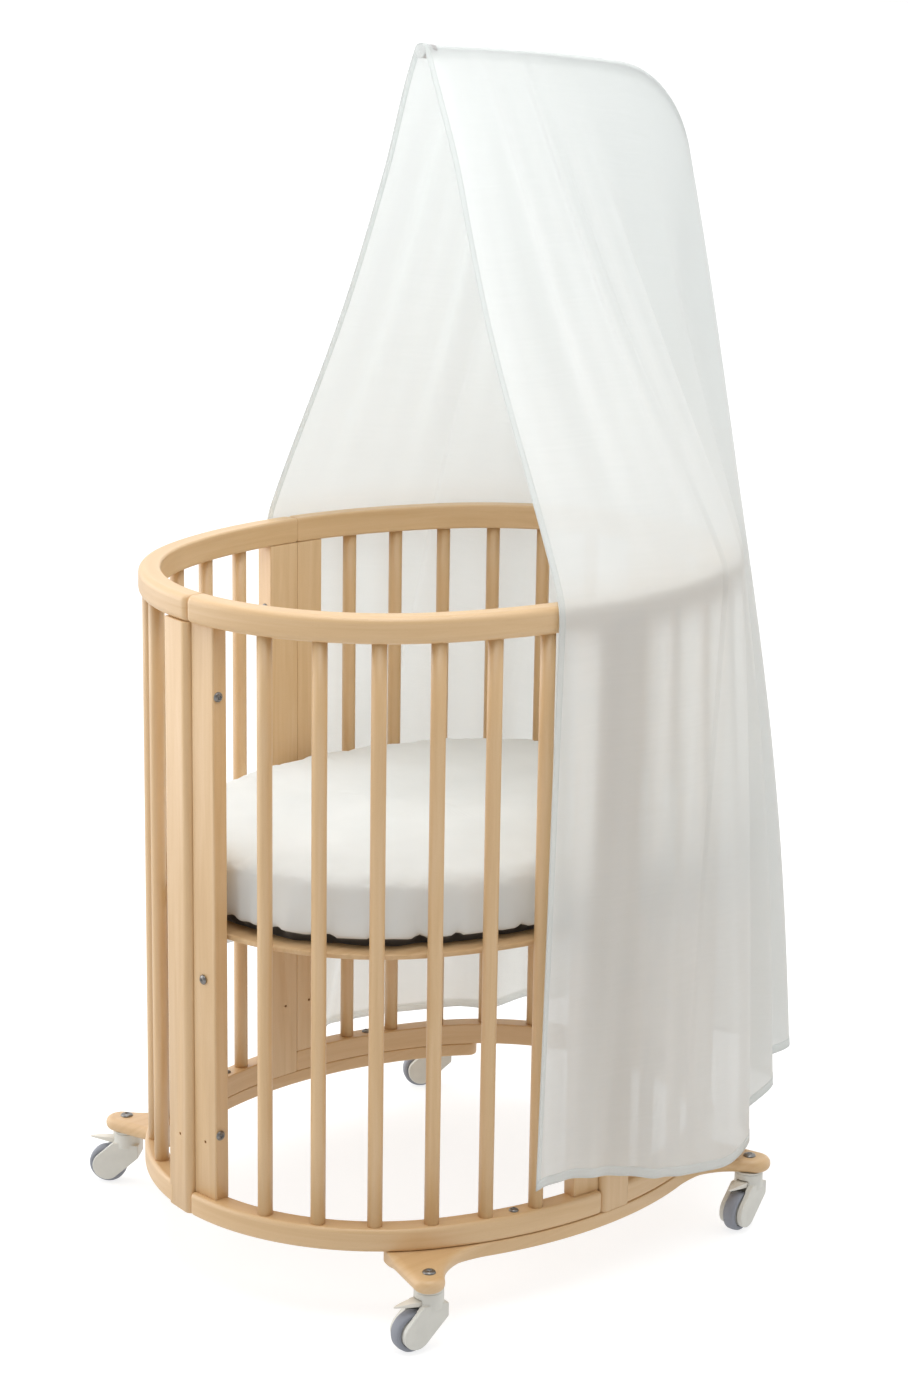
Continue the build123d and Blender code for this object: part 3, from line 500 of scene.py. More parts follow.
def drilled(made, place, axis, radius=0.0019, reach=0.03, turns=24):
    """Cuts a round hole right through a piece."""
    around = np.linspace(0, 2 * np.pi, turns, endpoint=False)[:, None]
    upward = np.array([0, 0, 1.0])
    ring = place + radius * (np.cos(around) * upward + np.sin(around) * np.cross(axis, upward))
    rings = np.array([ring + end * reach * np.array(axis, float) for end in (-1, 1)])
    drill = solid_of("drill", [rings])
    joined(made, drill, "DIFFERENCE")
    mesh = applied(made)
    mesh.set_sharp_from_angle(angle=np.radians(50))
    made.modifiers.clear()
    made.data = mesh
    bpy.data.objects.remove(drill)


spare_hole_z, spare_hole_inset = 0.191, 0.020
for number, (panel, (sign_x, sign_y, broad)) in enumerate(quadrants.items()):
    for end_seam, node in ((True, f"{panel}_end_post"), (False, f"{panel}_side_post")):
        low, high = heights(node)
        width = broad_width if broad else slim_width
        upright = post(width, low, high, broad, sign_x, sign_y, end_seam, 2.3 * number + 0.9 * end_seam)
        made = piece(f"{node}_wood", [upright], beech, [node])
        middle = -rail_thickness / 2
        if end_seam:
            place = (sign_x * (half_length + middle), sign_y * spare_hole_inset, spare_hole_z)
        else:
            place = (sign_x * spare_hole_inset, sign_y * (half_width + middle), spare_hole_z)
        drilled(made, place, (1, 0, 0) if end_seam else (0, 1, 0))


# ---------------------------------------------------------------- slats
# Six turned rods to a panel, let into the rails.
slat_radius, slat_count, slat_bite = 0.009, 6, 0.001
first_margin, last_margin = 0.108, 0.092
slat_turn = np.radians(np.arange(0, 360, 360 / 28))


def slat_centres():
    """Rod axes, evenly spaced on the rails' centreline between two margins."""
    centre = -rail_thickness / 2
    length = (end_r + centre) * end_angle + (side_r + centre) * (np.pi / 2 - end_angle)
    run = np.linspace(first_margin, length - last_margin, slat_count)
    tight = (end_r + centre) * end_angle
    outer_run = np.where(run < tight, run * end_r / (end_r + centre),
                         end_run + (run - tight) * side_r / (side_r + centre))
    return oval(outer_run, centre)


for number, (panel, (sign_x, sign_y, broad)) in enumerate(quadrants.items()):
    low, high = heights(f"{panel}_slats")
    levels = np.linspace(low - slat_bite, high + slat_bite, 7)
    rods = []
    for slat, (x, y) in enumerate(zip(*slat_centres())):
        ring = np.stack(np.broadcast_arrays(
            sign_x * x + slat_radius * np.cos(slat_turn)[None],
            sign_y * y + slat_radius * np.sin(slat_turn)[None],
            levels[:, None]), -1)
        rods.append(skin(ring, levels + 1.7 * slat + 11 * number))
    piece(f"{panel}_rods", rods, beech, [f"{panel}_slats"])


# ---------------------------------------------------------------- fasteners
# Domed steel bolts with hexagonal sockets, in the posts at each seam, under
# the board and down through the bottom rails; cap nuts face the panel bolts.
def socket_head(radius, height, shank, depth, socket=0.0028, turns=48):
    """Rings of a screw along Z: a shank, and a dome with a hexagonal hole.

    The hexagon's radius is r cos 30 / cos((a mod 60) - 30).
    """
    around = np.linspace(0, 2 * np.pi, turns, endpoint=False)
    six = np.cos(np.pi / 6) / np.cos(around % (np.pi / 3) - np.pi / 6)
    rise = np.radians(np.linspace(0, 68, 9))
    dome_r = radius * np.cos(rise)
    rim_height, chamfer, socket_floor = 0.0004, 0.0003, 0.35
    dome_z = rim_height + (height - rim_height) * np.sin(rise) / np.sin(rise[-1])
    round_rows = [(shank, -depth), (shank, -0.0001), (radius - chamfer, 0), (radius, rim_height / 2)]
    round_rows += list(zip(dome_r, dome_z))
    rings = [np.stack([r * np.cos(around), r * np.sin(around), 0 * around + z], -1)
             for r, z in round_rows]
    for r, z in ((socket + chamfer, height), (socket, height - chamfer), (socket, height * socket_floor)):
        rings.append(np.stack([r * six * np.cos(around), r * six * np.sin(around), 0 * around + z], -1))
    return np.array(rings)


def aimed(rings, place, axis):
    """Turns rings built along Z to an axis and moves them to a place."""
    turn = np.array(Vector((0, 0, 1)).rotation_difference(Vector(axis)).to_matrix())
    return rings @ turn.T + np.array(place)


def lathe_skin(rings):
    """Skin of turned rings, with grain coordinates along and round the axis."""
    return skin(rings, np.arange(len(rings)) * 0.001)


def metal(name, colour, roughness, speck):
    """Turned metal with a fine speckle in its tone and shine."""
    material, tree, shader = new_material(name, roughness, Metallic=1.0)
    place = own_place(tree)
    value = noise(tree, place, 900, 3, 0.6)
    low = tuple(speck * channel for channel in colour)
    tree.links.new(ramp(tree, value, (0.35, low), (0.65, colour)), shader.inputs["Base Color"])
    bumped(tree, shader, value, 0.15, 0.0001)
    return material


dark_steel = metal("browned steel", (0.30, 0.29, 0.28), 0.34, 0.7)
bright_steel = metal("bright steel", (0.62, 0.61, 0.60), 0.28, 0.8)

bolt_radius, bolt_height, shank_radius, bolt_inset = 0.006, 0.0032, 0.003, 0.019
upper_bolt_drop, lower_bolt_rise, base_bolt_drop = 0.083, 0.0823, 0.037
base_bolt_past, beam_bolt_depth, beam_bolt_x = 0.006, 0.041, 0.121
bolt_offset = -(slim_setback + rail_thickness) / 2
foot_rail_top = heights("head_left_bottom_rail")[1]
panel_bolt_levels = (rail_box[0].z - upper_bolt_drop, foot_rail_top + lower_bolt_rise)
base_bolt_level = heights("mattress_base")[0] - base_bolt_drop
beam_bolt_y = np.sqrt((side_r - rail_thickness / 2) ** 2 - beam_bolt_x**2) - side_y

bolts, nuts, base_bolts, beam_bolts = [], [], [], []
for panel, (sign_x, sign_y, broad) in quadrants.items():
    width = broad_width if broad else slim_width
    found = nuts if broad else bolts
    for level_z in panel_bolt_levels:
        head_rings = socket_head(bolt_radius, bolt_height, shank_radius, width)
        end_place = (sign_x * (half_length + bolt_offset), sign_y * width, level_z)
        side_place = (sign_x * width, sign_y * (half_width + bolt_offset), level_z)
        found.append(lathe_skin(aimed(head_rings, end_place, (0, sign_y, 0))))
        found.append(lathe_skin(aimed(head_rings, side_place, (sign_x, 0, 0))))
    outward = 0 if broad else -slim_setback
    depth = rail_thickness + outward + base_bolt_past
    head_rings = socket_head(bolt_radius, bolt_height, shank_radius, depth)
    if broad:
        reach = np.sqrt((side_r + outward) ** 2 - bolt_inset**2) - side_y
        place, axis = (sign_x * bolt_inset, sign_y * reach, base_bolt_level), (0, sign_y, 0)
    else:
        reach = end_x + np.sqrt((end_r + outward) ** 2 - bolt_inset**2)
        place, axis = (sign_x * reach, sign_y * bolt_inset, base_bolt_level), (sign_x, 0, 0)
    base_bolts.append(lathe_skin(aimed(head_rings, place, axis)))
    place = (sign_x * beam_bolt_x, sign_y * beam_bolt_y, foot_rail_top)
    head_rings = socket_head(bolt_radius, bolt_height, shank_radius, beam_bolt_depth)
    beam_bolts.append(lathe_skin(aimed(head_rings, place, (0, 0, 1))))

for name, skins, node in (
    ("seam_bolts", bolts, "panel_bolts"),
    ("seam_cap_nuts", nuts, "panel_cap_nuts"),
    ("board_bolts", base_bolts, "base_bolts"),
    ("rail_to_beam_bolts", beam_bolts, "beam_bolts"),
):
    piece(name, skins, dark_steel, [node])


# ---------------------------------------------------------------- beams
# Two curved beams under the bottom rails, thick beech board with softened
# edges. Each follows the rail's curve and flares to a lobe over each caster.
swivel_x, swivel_y = half_length - 0.1205, half_width - 0.0095
lobe_r, fillet_r, lobe_shift = 0.0195, 0.085, 0.0075
coarse_step, fine_step = 0.0025, 0.0018
# top and bottom rounds under the rail, and what the free lobes have more
rail_rounds, lobe_more = (0.0018, 0.003), (0.0067, 0.0055)


def outline_arc(centre, radius, start, end, step=coarse_step):
    """Points along an arc from start up to, not including, end, the short way."""
    first = np.arctan2(start[1] - centre[1], start[0] - centre[0])
    last = np.arctan2(end[1] - centre[1], end[0] - centre[0])
    swing = (last - first + 3 * np.pi) % (2 * np.pi) - np.pi
    count = max(2, int(abs(swing) * radius / step))
    turn = first + swing * np.arange(count) / count
    return np.stack([centre[0] + radius * np.cos(turn), centre[1] + radius * np.sin(turn)], -1)


def toward(start, target, distance):
    """Point at a distance from start on the way to target."""
    step = np.subtract(target, start)
    return start + step * distance / np.linalg.norm(step)


def beam_outline():
    """Closed plan outline of the left beam, from the middle of its outer edge."""
    outward = np.array([np.cos(np.pi / 4), np.sin(np.pi / 4)])
    lobe = np.array([swivel_x, swivel_y]) + lobe_shift * outward
    side_centre = np.array([0, -side_y])
    tip_angle = np.radians(55)
    middle_r = end_r - rail_thickness / 2
    tip = np.array([end_x + middle_r * np.cos(tip_angle), middle_r * np.sin(tip_angle)])
    tip_r = rail_thickness / 2
    # centre of the hollow between the rail's curve and the lobe
    near, far = lobe_r + fillet_r, side_r + fillet_r
    between = side_centre - lobe
    span = np.linalg.norm(between)
    along = (near**2 - far**2 + span**2) / (2 * span)
    across = np.sqrt(near**2 - along**2)
    unit = between / span
    hollow = min((lobe + along * unit + sign * across * np.array([-unit[1], unit[0]])
                  for sign in (1, -1)), key=lambda point: point[0])
    leave = toward(side_centre, hollow, side_r)
    meet = toward(lobe, hollow, lobe_r)
    step = lobe - tip
    reach = np.linalg.norm(step)
    lean = np.arctan2(step[1], step[0]) - np.arccos((tip_r - lobe_r) / reach)
    normal = np.array([np.cos(lean), np.sin(lean)])
    knee, inner_tip = [np.array([end_x + (end_r - rail_thickness) * np.cos(angle),
                                 (end_r - rail_thickness) * np.sin(angle)])
                       for angle in (end_angle, tip_angle)]
    edge_start, edge_end = lobe + lobe_r * normal, tip + tip_r * normal
    flat = edge_start + (edge_end - edge_start) * np.linspace(0, 1, 14)[:-1, None]
    half = np.concatenate([
        outline_arc(side_centre, side_r, (0, half_width), leave),
        outline_arc(hollow, fillet_r, leave, meet),
        outline_arc(lobe, lobe_r, meet, edge_start, fine_step),
        flat,
        outline_arc(tip, tip_r, edge_end, inner_tip, fine_step),
        outline_arc((end_x, 0), end_r - rail_thickness, inner_tip, knee),
        outline_arc(side_centre, side_r - rail_thickness, knee, (0, half_width - rail_thickness)),
        [(0, half_width - rail_thickness)],
    ])
    other = half[1:-1][::-1] * (-1, 1)
    return np.concatenate([half, other])


def inset_outline(outline, distance):
    """Outline moved inwards along its corner normals."""
    step = np.roll(outline, -1, 0) - np.roll(outline, 1, 0)
    normal = np.stack([step[:, 1], -step[:, 0]], -1)
    normal /= np.linalg.norm(normal, axis=1, keepdims=True)
    area = (outline[:, 0] * np.roll(outline[:, 1], -1) - outline[:, 1] * np.roll(outline[:, 0], -1)).sum()
    return outline - np.sign(area) * normal * distance


def beyond_rail(points):
    """Distance of plan points outside the rails' outer face, less than 0 within."""
    x, y = np.abs(points).T
    tight = np.arctan2(y, x - end_x) < end_angle
    return np.where(tight, np.hypot(x - end_x, y) - end_r, np.hypot(x, y + side_y) - side_r)


def eased(value, low, high):
    """Smooth step from 0 at low to 1 at high."""
    t = np.clip((value - low) / (high - low), 0, 1)
    return t * t * (3 - 2 * t)


def slab(outline, low, high, steps=7):
    """Board cut to an outline, with quarter-round upper and lower edges.

    The rounds grow by a smooth step over 14 mm from the rail's face outwards.
    """
    free = eased(beyond_rail(outline), -0.001, 0.013)[:, None]
    top_round, bottom_round = [least + more * free for least, more in zip(rail_rounds, lobe_more)]
    rows = [(bottom_round + 0.001, low + 0 * free)]
    for turn in np.linspace(0, np.pi / 2, steps + 1):
        rows.append((bottom_round * (1 - np.sin(turn)), low + bottom_round * (1 - np.cos(turn))))
    for turn in np.linspace(0, np.pi / 2, steps + 1):
        rows.append((top_round * (1 - np.cos(turn)), high - top_round * (1 - np.sin(turn))))
    rows.append((top_round + 0.001, high + 0 * free))
    rings = [np.hstack([inset_outline(outline, distance), height]) for distance, height in rows]
    points, faces, _ = skin(np.array(rings), np.zeros(len(rings)))
    corner = points[np.concatenate(faces)]
    return points, faces, np.column_stack([corner[:, 0], corner[:, 1] + corner[:, 2]])


beam_low, beam_high = heights("left_caster_beam")
for name, sign_y in (("left", 1), ("right", -1)):
    board = slab(beam_outline() * (1, sign_y), beam_low, beam_high)
    piece(f"{name}_foot_beam", [board], beech, [f"{name}_caster_beam"])


# ---------------------------------------------------------------- casters
# Four swivel casters: a moulded fork on a bolt through the lobe, a grey
# rubber tyre on a cream wheel, and an ivory pedal over the trailing edge.
def plastic(name, colour, roughness, **values):
    """Moulded plastic or enamel, faintly mottled with an orange-peel surface."""
    material, tree, shader = new_material(name, roughness, **values)
    place = own_place(tree)
    cloud = noise(tree, place, 60, 3, 0.5)
    low = tuple(0.93 * channel for channel in colour)
    tree.links.new(ramp(tree, cloud, (0.3, low), (0.7, colour)), shader.inputs["Base Color"])
    bumped(tree, shader, noise(tree, place, 1400, 2, 0.5), 0.08, 0.0001)
    return material


cream = plastic("cream plastic", (0.74, 0.73, 0.67), 0.38, Coat_Weight=0.15)
ivory = plastic("ivory plastic", (0.83, 0.80, 0.72), 0.36, Coat_Weight=0.2)
grey_rubber = plastic("grey rubber", (0.30, 0.315, 0.36), 0.62)

# end, side, and the direction in which each caster trails, in degrees
casters = {
    "foot_right": (-1, -1, 174),
    "head_right": (1, -1, 193),
    "head_left": (1, 1, 146),
    "foot_left": (-1, 1, 132),
}
wheel_r, wheel_trail, tyre_width, hub_r = 0.025, 0.025, 0.017, 0.018
collar_height, collar_gap = 0.0022, 0.0003
drum_top = beam_low - collar_height - collar_gap
drum_r, drum_low, fork_width, cheek_r = 0.018, 0.051, 0.033, 0.0185


def prism(outline, low, high, axis="z"):
    """Closed straight prism on an outline in the plan, or in XZ for axis y."""
    rings = np.array([np.column_stack([outline, np.full(len(outline), level)]) for level in (low, high)])
    return rings if axis == "z" else rings[:, :, [0, 2, 1]]


def circle(centre, radius, count=64):
    """Closed ring of points about a centre."""
    turn = np.linspace(0, 2 * np.pi, count, endpoint=False)
    return np.stack([centre[0] + radius * np.cos(turn), centre[1] + radius * np.sin(turn)], -1)


def hull(*groups):
    """Convex outline round groups of points, anticlockwise."""
    points = sorted({tuple(point) for point in np.round(np.concatenate(groups), 7).tolist()})

    def chain(row):
        """One side of the outline: points that would turn it inwards drop out."""
        kept = []
        for p in row:
            while len(kept) > 1 and ((kept[-1][0] - kept[-2][0]) * (p[1] - kept[-2][1])
                                     <= (kept[-1][1] - kept[-2][1]) * (p[0] - kept[-2][0])):
                kept.pop()
            kept.append(p)
        return kept[:-1]

    return np.array(chain(points) + chain(points[::-1]))


def moulded(name, solids, cuts, voxel, passes):
    """Mesh of joined solids less cuts, its edges softened like a moulding's."""
    base = solid_of(name, solids[:1])
    steps = [("UNION", part) for part in solids[1:]] + [("DIFFERENCE", part) for part in cuts]
    helpers = [solid_of(f"{name}_{kind}", [part]) for kind, part in steps]
    for helper, (kind, _) in zip(helpers, steps):
        joined(base, helper, kind)
    remesh = base.modifiers.new("remesh", "REMESH")
    remesh.mode = "VOXEL"
    remesh.voxel_size = voxel
    smooth = base.modifiers.new("smooth", "SMOOTH")
    smooth.factor = 0.5
    smooth.iterations = passes
    mesh = applied(base)
    for helper in [base, *helpers]:
        bpy.data.objects.remove(helper)
    smooth_shaded(mesh)
    return mesh


def moved_copy(name, mesh, place):
    """Copy of a mesh, moved by a matrix."""
    copy = mesh.copy()
    copy.name = name
    copy.transform(place)
    return copy


def refinished(material, *nodes):
    """Gives CAD nodes that stay in sight a material."""
    for node in nodes:
        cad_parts[node].data.materials.clear()
        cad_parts[node].data.materials.append(material)


def fork_mesh():
    """Swivel drum and two slanted cheeks over the wheel, which trails to +X."""
    shoulder = [(-drum_r, 0.039), (-drum_r, 0.056), (drum_r - 0.002, 0.058)]
    tread_gap, side_gap = 0.0016, 0.001
    pocket_start, pocket_end, pocket_top, pocket_half = 0.0071, 0.06, 0.0631, 0.0084
    cheek = hull(circle((wheel_trail, wheel_r), cheek_r), shoulder)
    arm = prism(cheek, -fork_width / 2, fork_width / 2, "y")
    drum = prism(circle((0, 0), drum_r, 96), drum_low, drum_top)
    wheel_room = prism(circle((wheel_trail, wheel_r), wheel_r + tread_gap, 96),
                       -tyre_width / 2 - side_gap, tyre_width / 2 + side_gap, "y")
    pocket = prism([(pocket_start, wheel_r), (pocket_end, wheel_r), (pocket_end, pocket_top),
                    (pocket_start, pocket_top)], -pocket_half, pocket_half, "y")
    return moulded("fork", [arm, drum], [wheel_room, pocket], voxel=0.0007, passes=10)


def tyre_mesh():
    """Rubber ring with a crowned tread and a fine line round each shoulder."""
    half = tyre_width / 2
    rows = [(hub_r + 0.0002, -half + 0.0012), (hub_r + 0.0012, -half),
            (wheel_r - 0.0052, -half), (wheel_r - 0.0047, -half + 0.0002), (wheel_r - 0.0042, -half),
            (wheel_r - 0.0030, -half + 0.0003), (wheel_r - 0.0015, -half + 0.0014),
            (wheel_r - 0.0005, -half + 0.0032), (wheel_r, 0)]
    rows += [(r, -z) for r, z in rows[-2::-1]]
    rows += [(hub_r + 0.0002, 0)]
    turn = np.linspace(0, 2 * np.pi, 96, endpoint=False)
    rings = np.array([np.stack([wheel_trail + r * np.cos(turn), 0 * turn + z,
                                wheel_r + r * np.sin(turn)], -1) for r, z in rows + rows[:1]])
    return closed_mesh("tyre", [skin(rings, np.zeros(len(rings)), caps=False)], merge=True)


def pedal_mesh():
    """Brake pedal: a barrel with a wedge that narrows and thins to a blunt point."""
    pivot_x, pivot_z, barrel_r, width, reach = 0.0125, 0.0575, 0.0046, 0.016, 0.037
    wedge = []
    for run, half, low, high in ((0, 0.5, -0.0032, 0.0038), (0.004, 0.5, -0.0022, 0.0043),
                                 (0.016, 0.40, -0.0006, 0.0044), (0.028, 0.24, 0.0008, 0.0040),
                                 (0.0345, 0.12, 0.0014, 0.0036), (reach, 0.05, 0.0018, 0.0032)):
        wedge.append([(pivot_x + run, side * half * width, pivot_z + z)
                      for side, z in ((-1, low), (1, low), (1, high), (-1, high))])
    barrel = prism(circle((pivot_x, pivot_z), barrel_r, 48), -width / 2, width / 2, "y")
    return moulded("pedal", [np.array(wedge), barrel], [], voxel=0.0005, passes=5)


fork, tyre, pedal = fork_mesh(), tyre_mesh(), pedal_mesh()
stem_head_r, stem_head_height, stem_r, stem_socket, stem_bite = 0.008, 0.0034, 0.004, 0.003, 0.0165
stem_depth = beam_high - drum_top + stem_bite
stems = []
for name, (sign_x, sign_y, trail) in casters.items():
    place = Matrix.Translation((sign_x * swivel_x, sign_y * swivel_y, 0)) @ Matrix.Rotation(
        np.radians(trail), 4, "Z")
    for part, mesh, body, material, slot, node in (
        ("fork", fork, "swivel", cream, "cream_plastic", "fork"),
        ("rubber", tyre, "wheel", grey_rubber, "grey_tyre", "tyre"),
        ("pedal", pedal, "brake", ivory, "ivory_lever", "brake_lever"),
    ):
        copy = moved_copy(f"{name}_{part}", mesh, place)
        fitted(f"{name}_{part}", copy, material, [f"{name}_caster_{node}"], f"{name}_caster_{body}")
    refinished(cream, f"{name}_caster_hub")
    refinished(bright_steel, f"{name}_caster_axle")
    stem_rings = socket_head(stem_head_r, stem_head_height, stem_r, stem_depth, stem_socket)
    stem_place = (sign_x * swivel_x, sign_y * swivel_y, beam_high)
    stems.append(lathe_skin(aimed(stem_rings, stem_place, (0, 0, 1))))
for mesh in (fork, tyre, pedal):
    bpy.data.meshes.remove(mesh)
piece("caster_bolts", stems, dark_steel, ["caster_stems"])
refinished(cream, "caster_collars")


# ---------------------------------------------------------------- board
# Slotted board of thin beech ply with softened edges, on four clear plastic
# gussets that are bolted to the posts and reach up to its underside.
board_thickness, board_round, board_gap = 0.0065, 0.002, 0.004
board_offset = -rail_thickness - board_gap
board_top = heights("mattress_base")[1]
board_underside = board_top - board_thickness
slot_length, slot_width, slot_pitch, slot_gap, slot_past = 0.150, 0.030, 0.102, 0.032, 0.01
oval_points = 400


def closed_oval(offset):
    """Whole oval at an offset from the rails, from +X round to +X."""
    quarter = np.linspace(0, quarter_run, oval_points // 4, endpoint=False)
    x, y = oval(quarter, offset)
    back_x, back_y = oval(quarter_run - quarter, offset)
    return np.stack([np.concatenate([x, -back_x, -x, back_x]),
                     np.concatenate([y, back_y, -y, -back_y])], -1)


def oval_rings(rows):
    """Level ovals of a disc, each at an offset from the rails and shrunk to a share of it."""
    return np.array([np.column_stack([closed_oval(offset) * share, np.full(oval_points, level)])
                     for offset, share, level in rows])


def board_rings(steps=5):
    """Oval disc with a quarter round at its lower and at its upper edge.

    At a turn a the edge draws in by r (1 - sin a), r (1 - cos a) off the face.
    """
    turn = np.linspace(0, np.pi / 2, steps)
    insets = board_round * np.concatenate([1 - np.sin(turn), 1 - np.cos(turn)])
    levels = np.concatenate([board_underside + board_round * (1 - np.cos(turn)),
                             board_top - board_round * (1 - np.sin(turn))])
    return oval_rings([(board_offset - inset, 1, level) for inset, level in zip(insets, levels)])


def slot_rings(column, row):
    """Straight slot along X with half-round ends, cut right through the board."""
    x, y, half = column * (slot_length + slot_gap), row * slot_pitch, (slot_length - slot_width) / 2
    outline = hull(circle((x - half, y), slot_width / 2), circle((x + half, y), slot_width / 2))
    return prism(outline, board_underside - slot_past, board_top + slot_past)


def sawn_beech(name, pale, mid, deep):
    """Oiled beech whose grain runs along X, read from the object's own place."""
    material, tree, shader = new_material(name, 0.45)
    place = own_place(tree)
    tree.links.new(banded(tree, place, (5, 90, 60), pale, mid, deep), shader.inputs["Base Color"])
    pores = noise(tree, stretched(tree, place, (60, 3000, 3000)), 1.0, 2, 0.6)
    bumped(tree, shader, pores, 0.1, 0.0002)
    return material


board_wood = sawn_beech("board beech", (0.78, 0.56, 0.33), (0.72, 0.495, 0.27), (0.64, 0.42, 0.21))
clear = plastic("clear plastic", (0.80, 0.87, 0.85), 0.15, Alpha=0.45)

# rows of three slots, with two in each outer row
board = solid_of("slotted_board", [board_rings()])
slots = solid_of("slots", [slot_rings(column, row) for row in (-2, -1, 0, 1, 2)
                           for column in ((-0.5, 0.5) if abs(row) == 2 else (-1, 0, 1))])
joined(board, slots, "DIFFERENCE")
mesh = applied(board)
for helper in (board, slots):
    bpy.data.objects.remove(helper)
smooth_shaded(mesh)
mesh.set_sharp_from_angle(angle=np.radians(40))
fitted("slotted_board", mesh, board_wood, ["mattress_base"])


def gusset_parts(sign_x, sign_y, end_seam):
    """Plate on a post, an arm under the board and a round lug over the bolt.

    Each is a prism across the post's inner face, placed by its depth inwards.
    """
    face = (half_length if end_seam else half_width) - rail_thickness
    half, plate, arm, arm_thickness = 0.013, 0.003, 0.028, 0.005
    lug_radius, lug_depth = 0.010, 0.006
    foot = base_bolt_level - 0.008
    parts = []
    for outline, depth in (
        ([(-half, foot), (half, foot), (half, board_underside), (-half, board_underside)], plate),
        ([(-half, board_underside - arm_thickness), (half, board_underside - arm_thickness),
          (half, board_underside), (-half, board_underside)], arm),
        (circle((0, base_bolt_level), lug_radius, 40), lug_depth),
    ):
        rings = prism(np.array(outline), face - depth, face)
        inward, across, height = rings[:, :, 2], rings[:, :, 0], rings[:, :, 1]
        if end_seam:
            x, y = sign_x * inward, sign_y * bolt_inset + across
        else:
            x, y = sign_x * bolt_inset + across, sign_y * inward
        parts.append(skin(np.stack([x, y, height], -1), np.array([0, depth])))
    return parts


gussets = [part for sign_x, sign_y, broad in quadrants.values()
           for part in gusset_parts(sign_x, sign_y, not broad)]
made = piece("board_gussets", gussets, clear, ["base_brackets"])
made.data.set_sharp_from_angle(angle=np.radians(40))


# ---------------------------------------------------------------- mattress
# Oval foam mattress in a white fitted sheet. It swells under its cover, and
# the sheet's elastic gathers the lower edge into small folds.
mattress_low, mattress_high = heights("mattress")
mattress_height = mattress_high - mattress_low
mattress_gap, swell_room = 0.012, 0.004
mattress_offset = -rail_thickness - mattress_gap - swell_room
# the underside's ovals, and the lip's profile as inset and rise; the underside and the lip's first part
# carry painted shade
underside_shares = np.linspace(0.02, 0.97, 9)
lip_profile = ((0.020, 0), (0.018, 0.0006), (0.016, 0.0035), (0.013, 0.0078), (0.008, 0.0108),
               (0.002, 0.0122), (0.0003, 0.0136), (0, 0.016))
painted_shade_rings = len(underside_shares) + 5
upper_round, top_drop, crown = 0.006, 0.003, 0.007
left_plump, foot_plump = 0.0095, 0.004


def mattress_rings():
    """Foam block in its cover, from the middle of the underside to that of the top.

    The underside draws in over the elastic, which leaves a lip; the upper edge
    is a quarter round, and the top rises by crown (1 - share^2). The foam is
    plumper by smooth steps towards the left side and the foot end.
    """
    top = mattress_high - top_drop
    side_start, side_end = mattress_low + 0.021, top - upper_round - 0.003
    rows = [(lip_profile[0][0], share, mattress_low) for share in underside_shares]
    rows += [(inset, 1, mattress_low + rise) for inset, rise in lip_profile]
    rows += [(0, 1, level) for level in np.linspace(side_start, side_end, 11)]
    rows += [(upper_round * (1 - np.cos(turn)), 1, top - upper_round * (1 - np.sin(turn)))
             for turn in np.linspace(0, np.pi / 2, 6)]
    rows += [(upper_round, share, top + crown * (1 - share**2)) for share in np.linspace(0.98, 0.02, 25)]
    rings = oval_rings([(mattress_offset - inset, share, level) for inset, share, level in rows])
    x, y, z = rings.transpose(2, 0, 1)
    plump = left_plump * eased(y, -0.15, 0.24) + foot_plump * eased(-x, 0.26, 0.34)
    rings[:, :, 2] += plump * (z - mattress_low) / mattress_height
    return rings


sheet_cotton, tree, shader = new_material("white cotton", 0.85, Sheen_Weight=0.2)
place = own_place(tree)
weave = noise(tree, stretched(tree, place, (1800, 1800, 1800)), 1.0, 2, 0.7)
soft = noise(tree, place, 9, 3, 0.5)
unshaded = tree.nodes.new("ShaderNodeAttribute")
unshaded.attribute_name = "unshaded"
unshaded_part = ramp(tree, unshaded.outputs["Fac"], (0.45, (0, 0, 0)), (0.55, (1, 1, 1)))
# painted shade: a near black colour that stands for the deep shadow under the mattress's lip
painted_lip_shade = ramp(tree, soft, (0.3, (0.035, 0.033, 0.030)), (0.7, (0.05, 0.048, 0.045)))
white = ramp(tree, soft, (0.3, (0.78, 0.81, 0.805)), (0.7, (0.84, 0.87, 0.865)))
tree.links.new(blended(tree, "MIX", unshaded_part, painted_lip_shade, white), shader.inputs["Base Color"])
bumped(tree, shader, weave, 0.2, 0.0004)


def coordinates(mesh):
    """Points of a mesh, as rows of x, y and z."""
    flat = np.empty(len(mesh.vertices) * 3)
    mesh.vertices.foreach_get("co", flat)
    return flat.reshape(-1, 3)


def swollen(mattress, pressure=4, steps=20, most=0.006, held_height=0.012):
    """Mesh of the mattress after its cover has swelled, and its capped points.

    The lower edge is held, and no point ends further than a cap from its start.
    """
    start = coordinates(mattress.data)
    held = mattress.vertex_groups.new(name="held")
    held.add(np.flatnonzero(start[:, 2] < mattress_low + held_height).tolist(), 1.0, "REPLACE")
    cloth = mattress.modifiers.new("cloth", "CLOTH")
    cloth.settings.use_pressure = True
    cloth.settings.uniform_pressure_force = pressure
    cloth.settings.effector_weights.gravity = 0
    cloth.settings.vertex_group_mass = "held"
    cloth.settings.quality = 6
    for step in range(1, steps + 1):
        scene.frame_set(step)
    mesh = applied(mattress)
    move = coordinates(mesh) - start
    length = np.linalg.norm(move, axis=1, keepdims=True)
    return mesh, start + move * np.minimum(1, most / np.maximum(length, 1e-9))


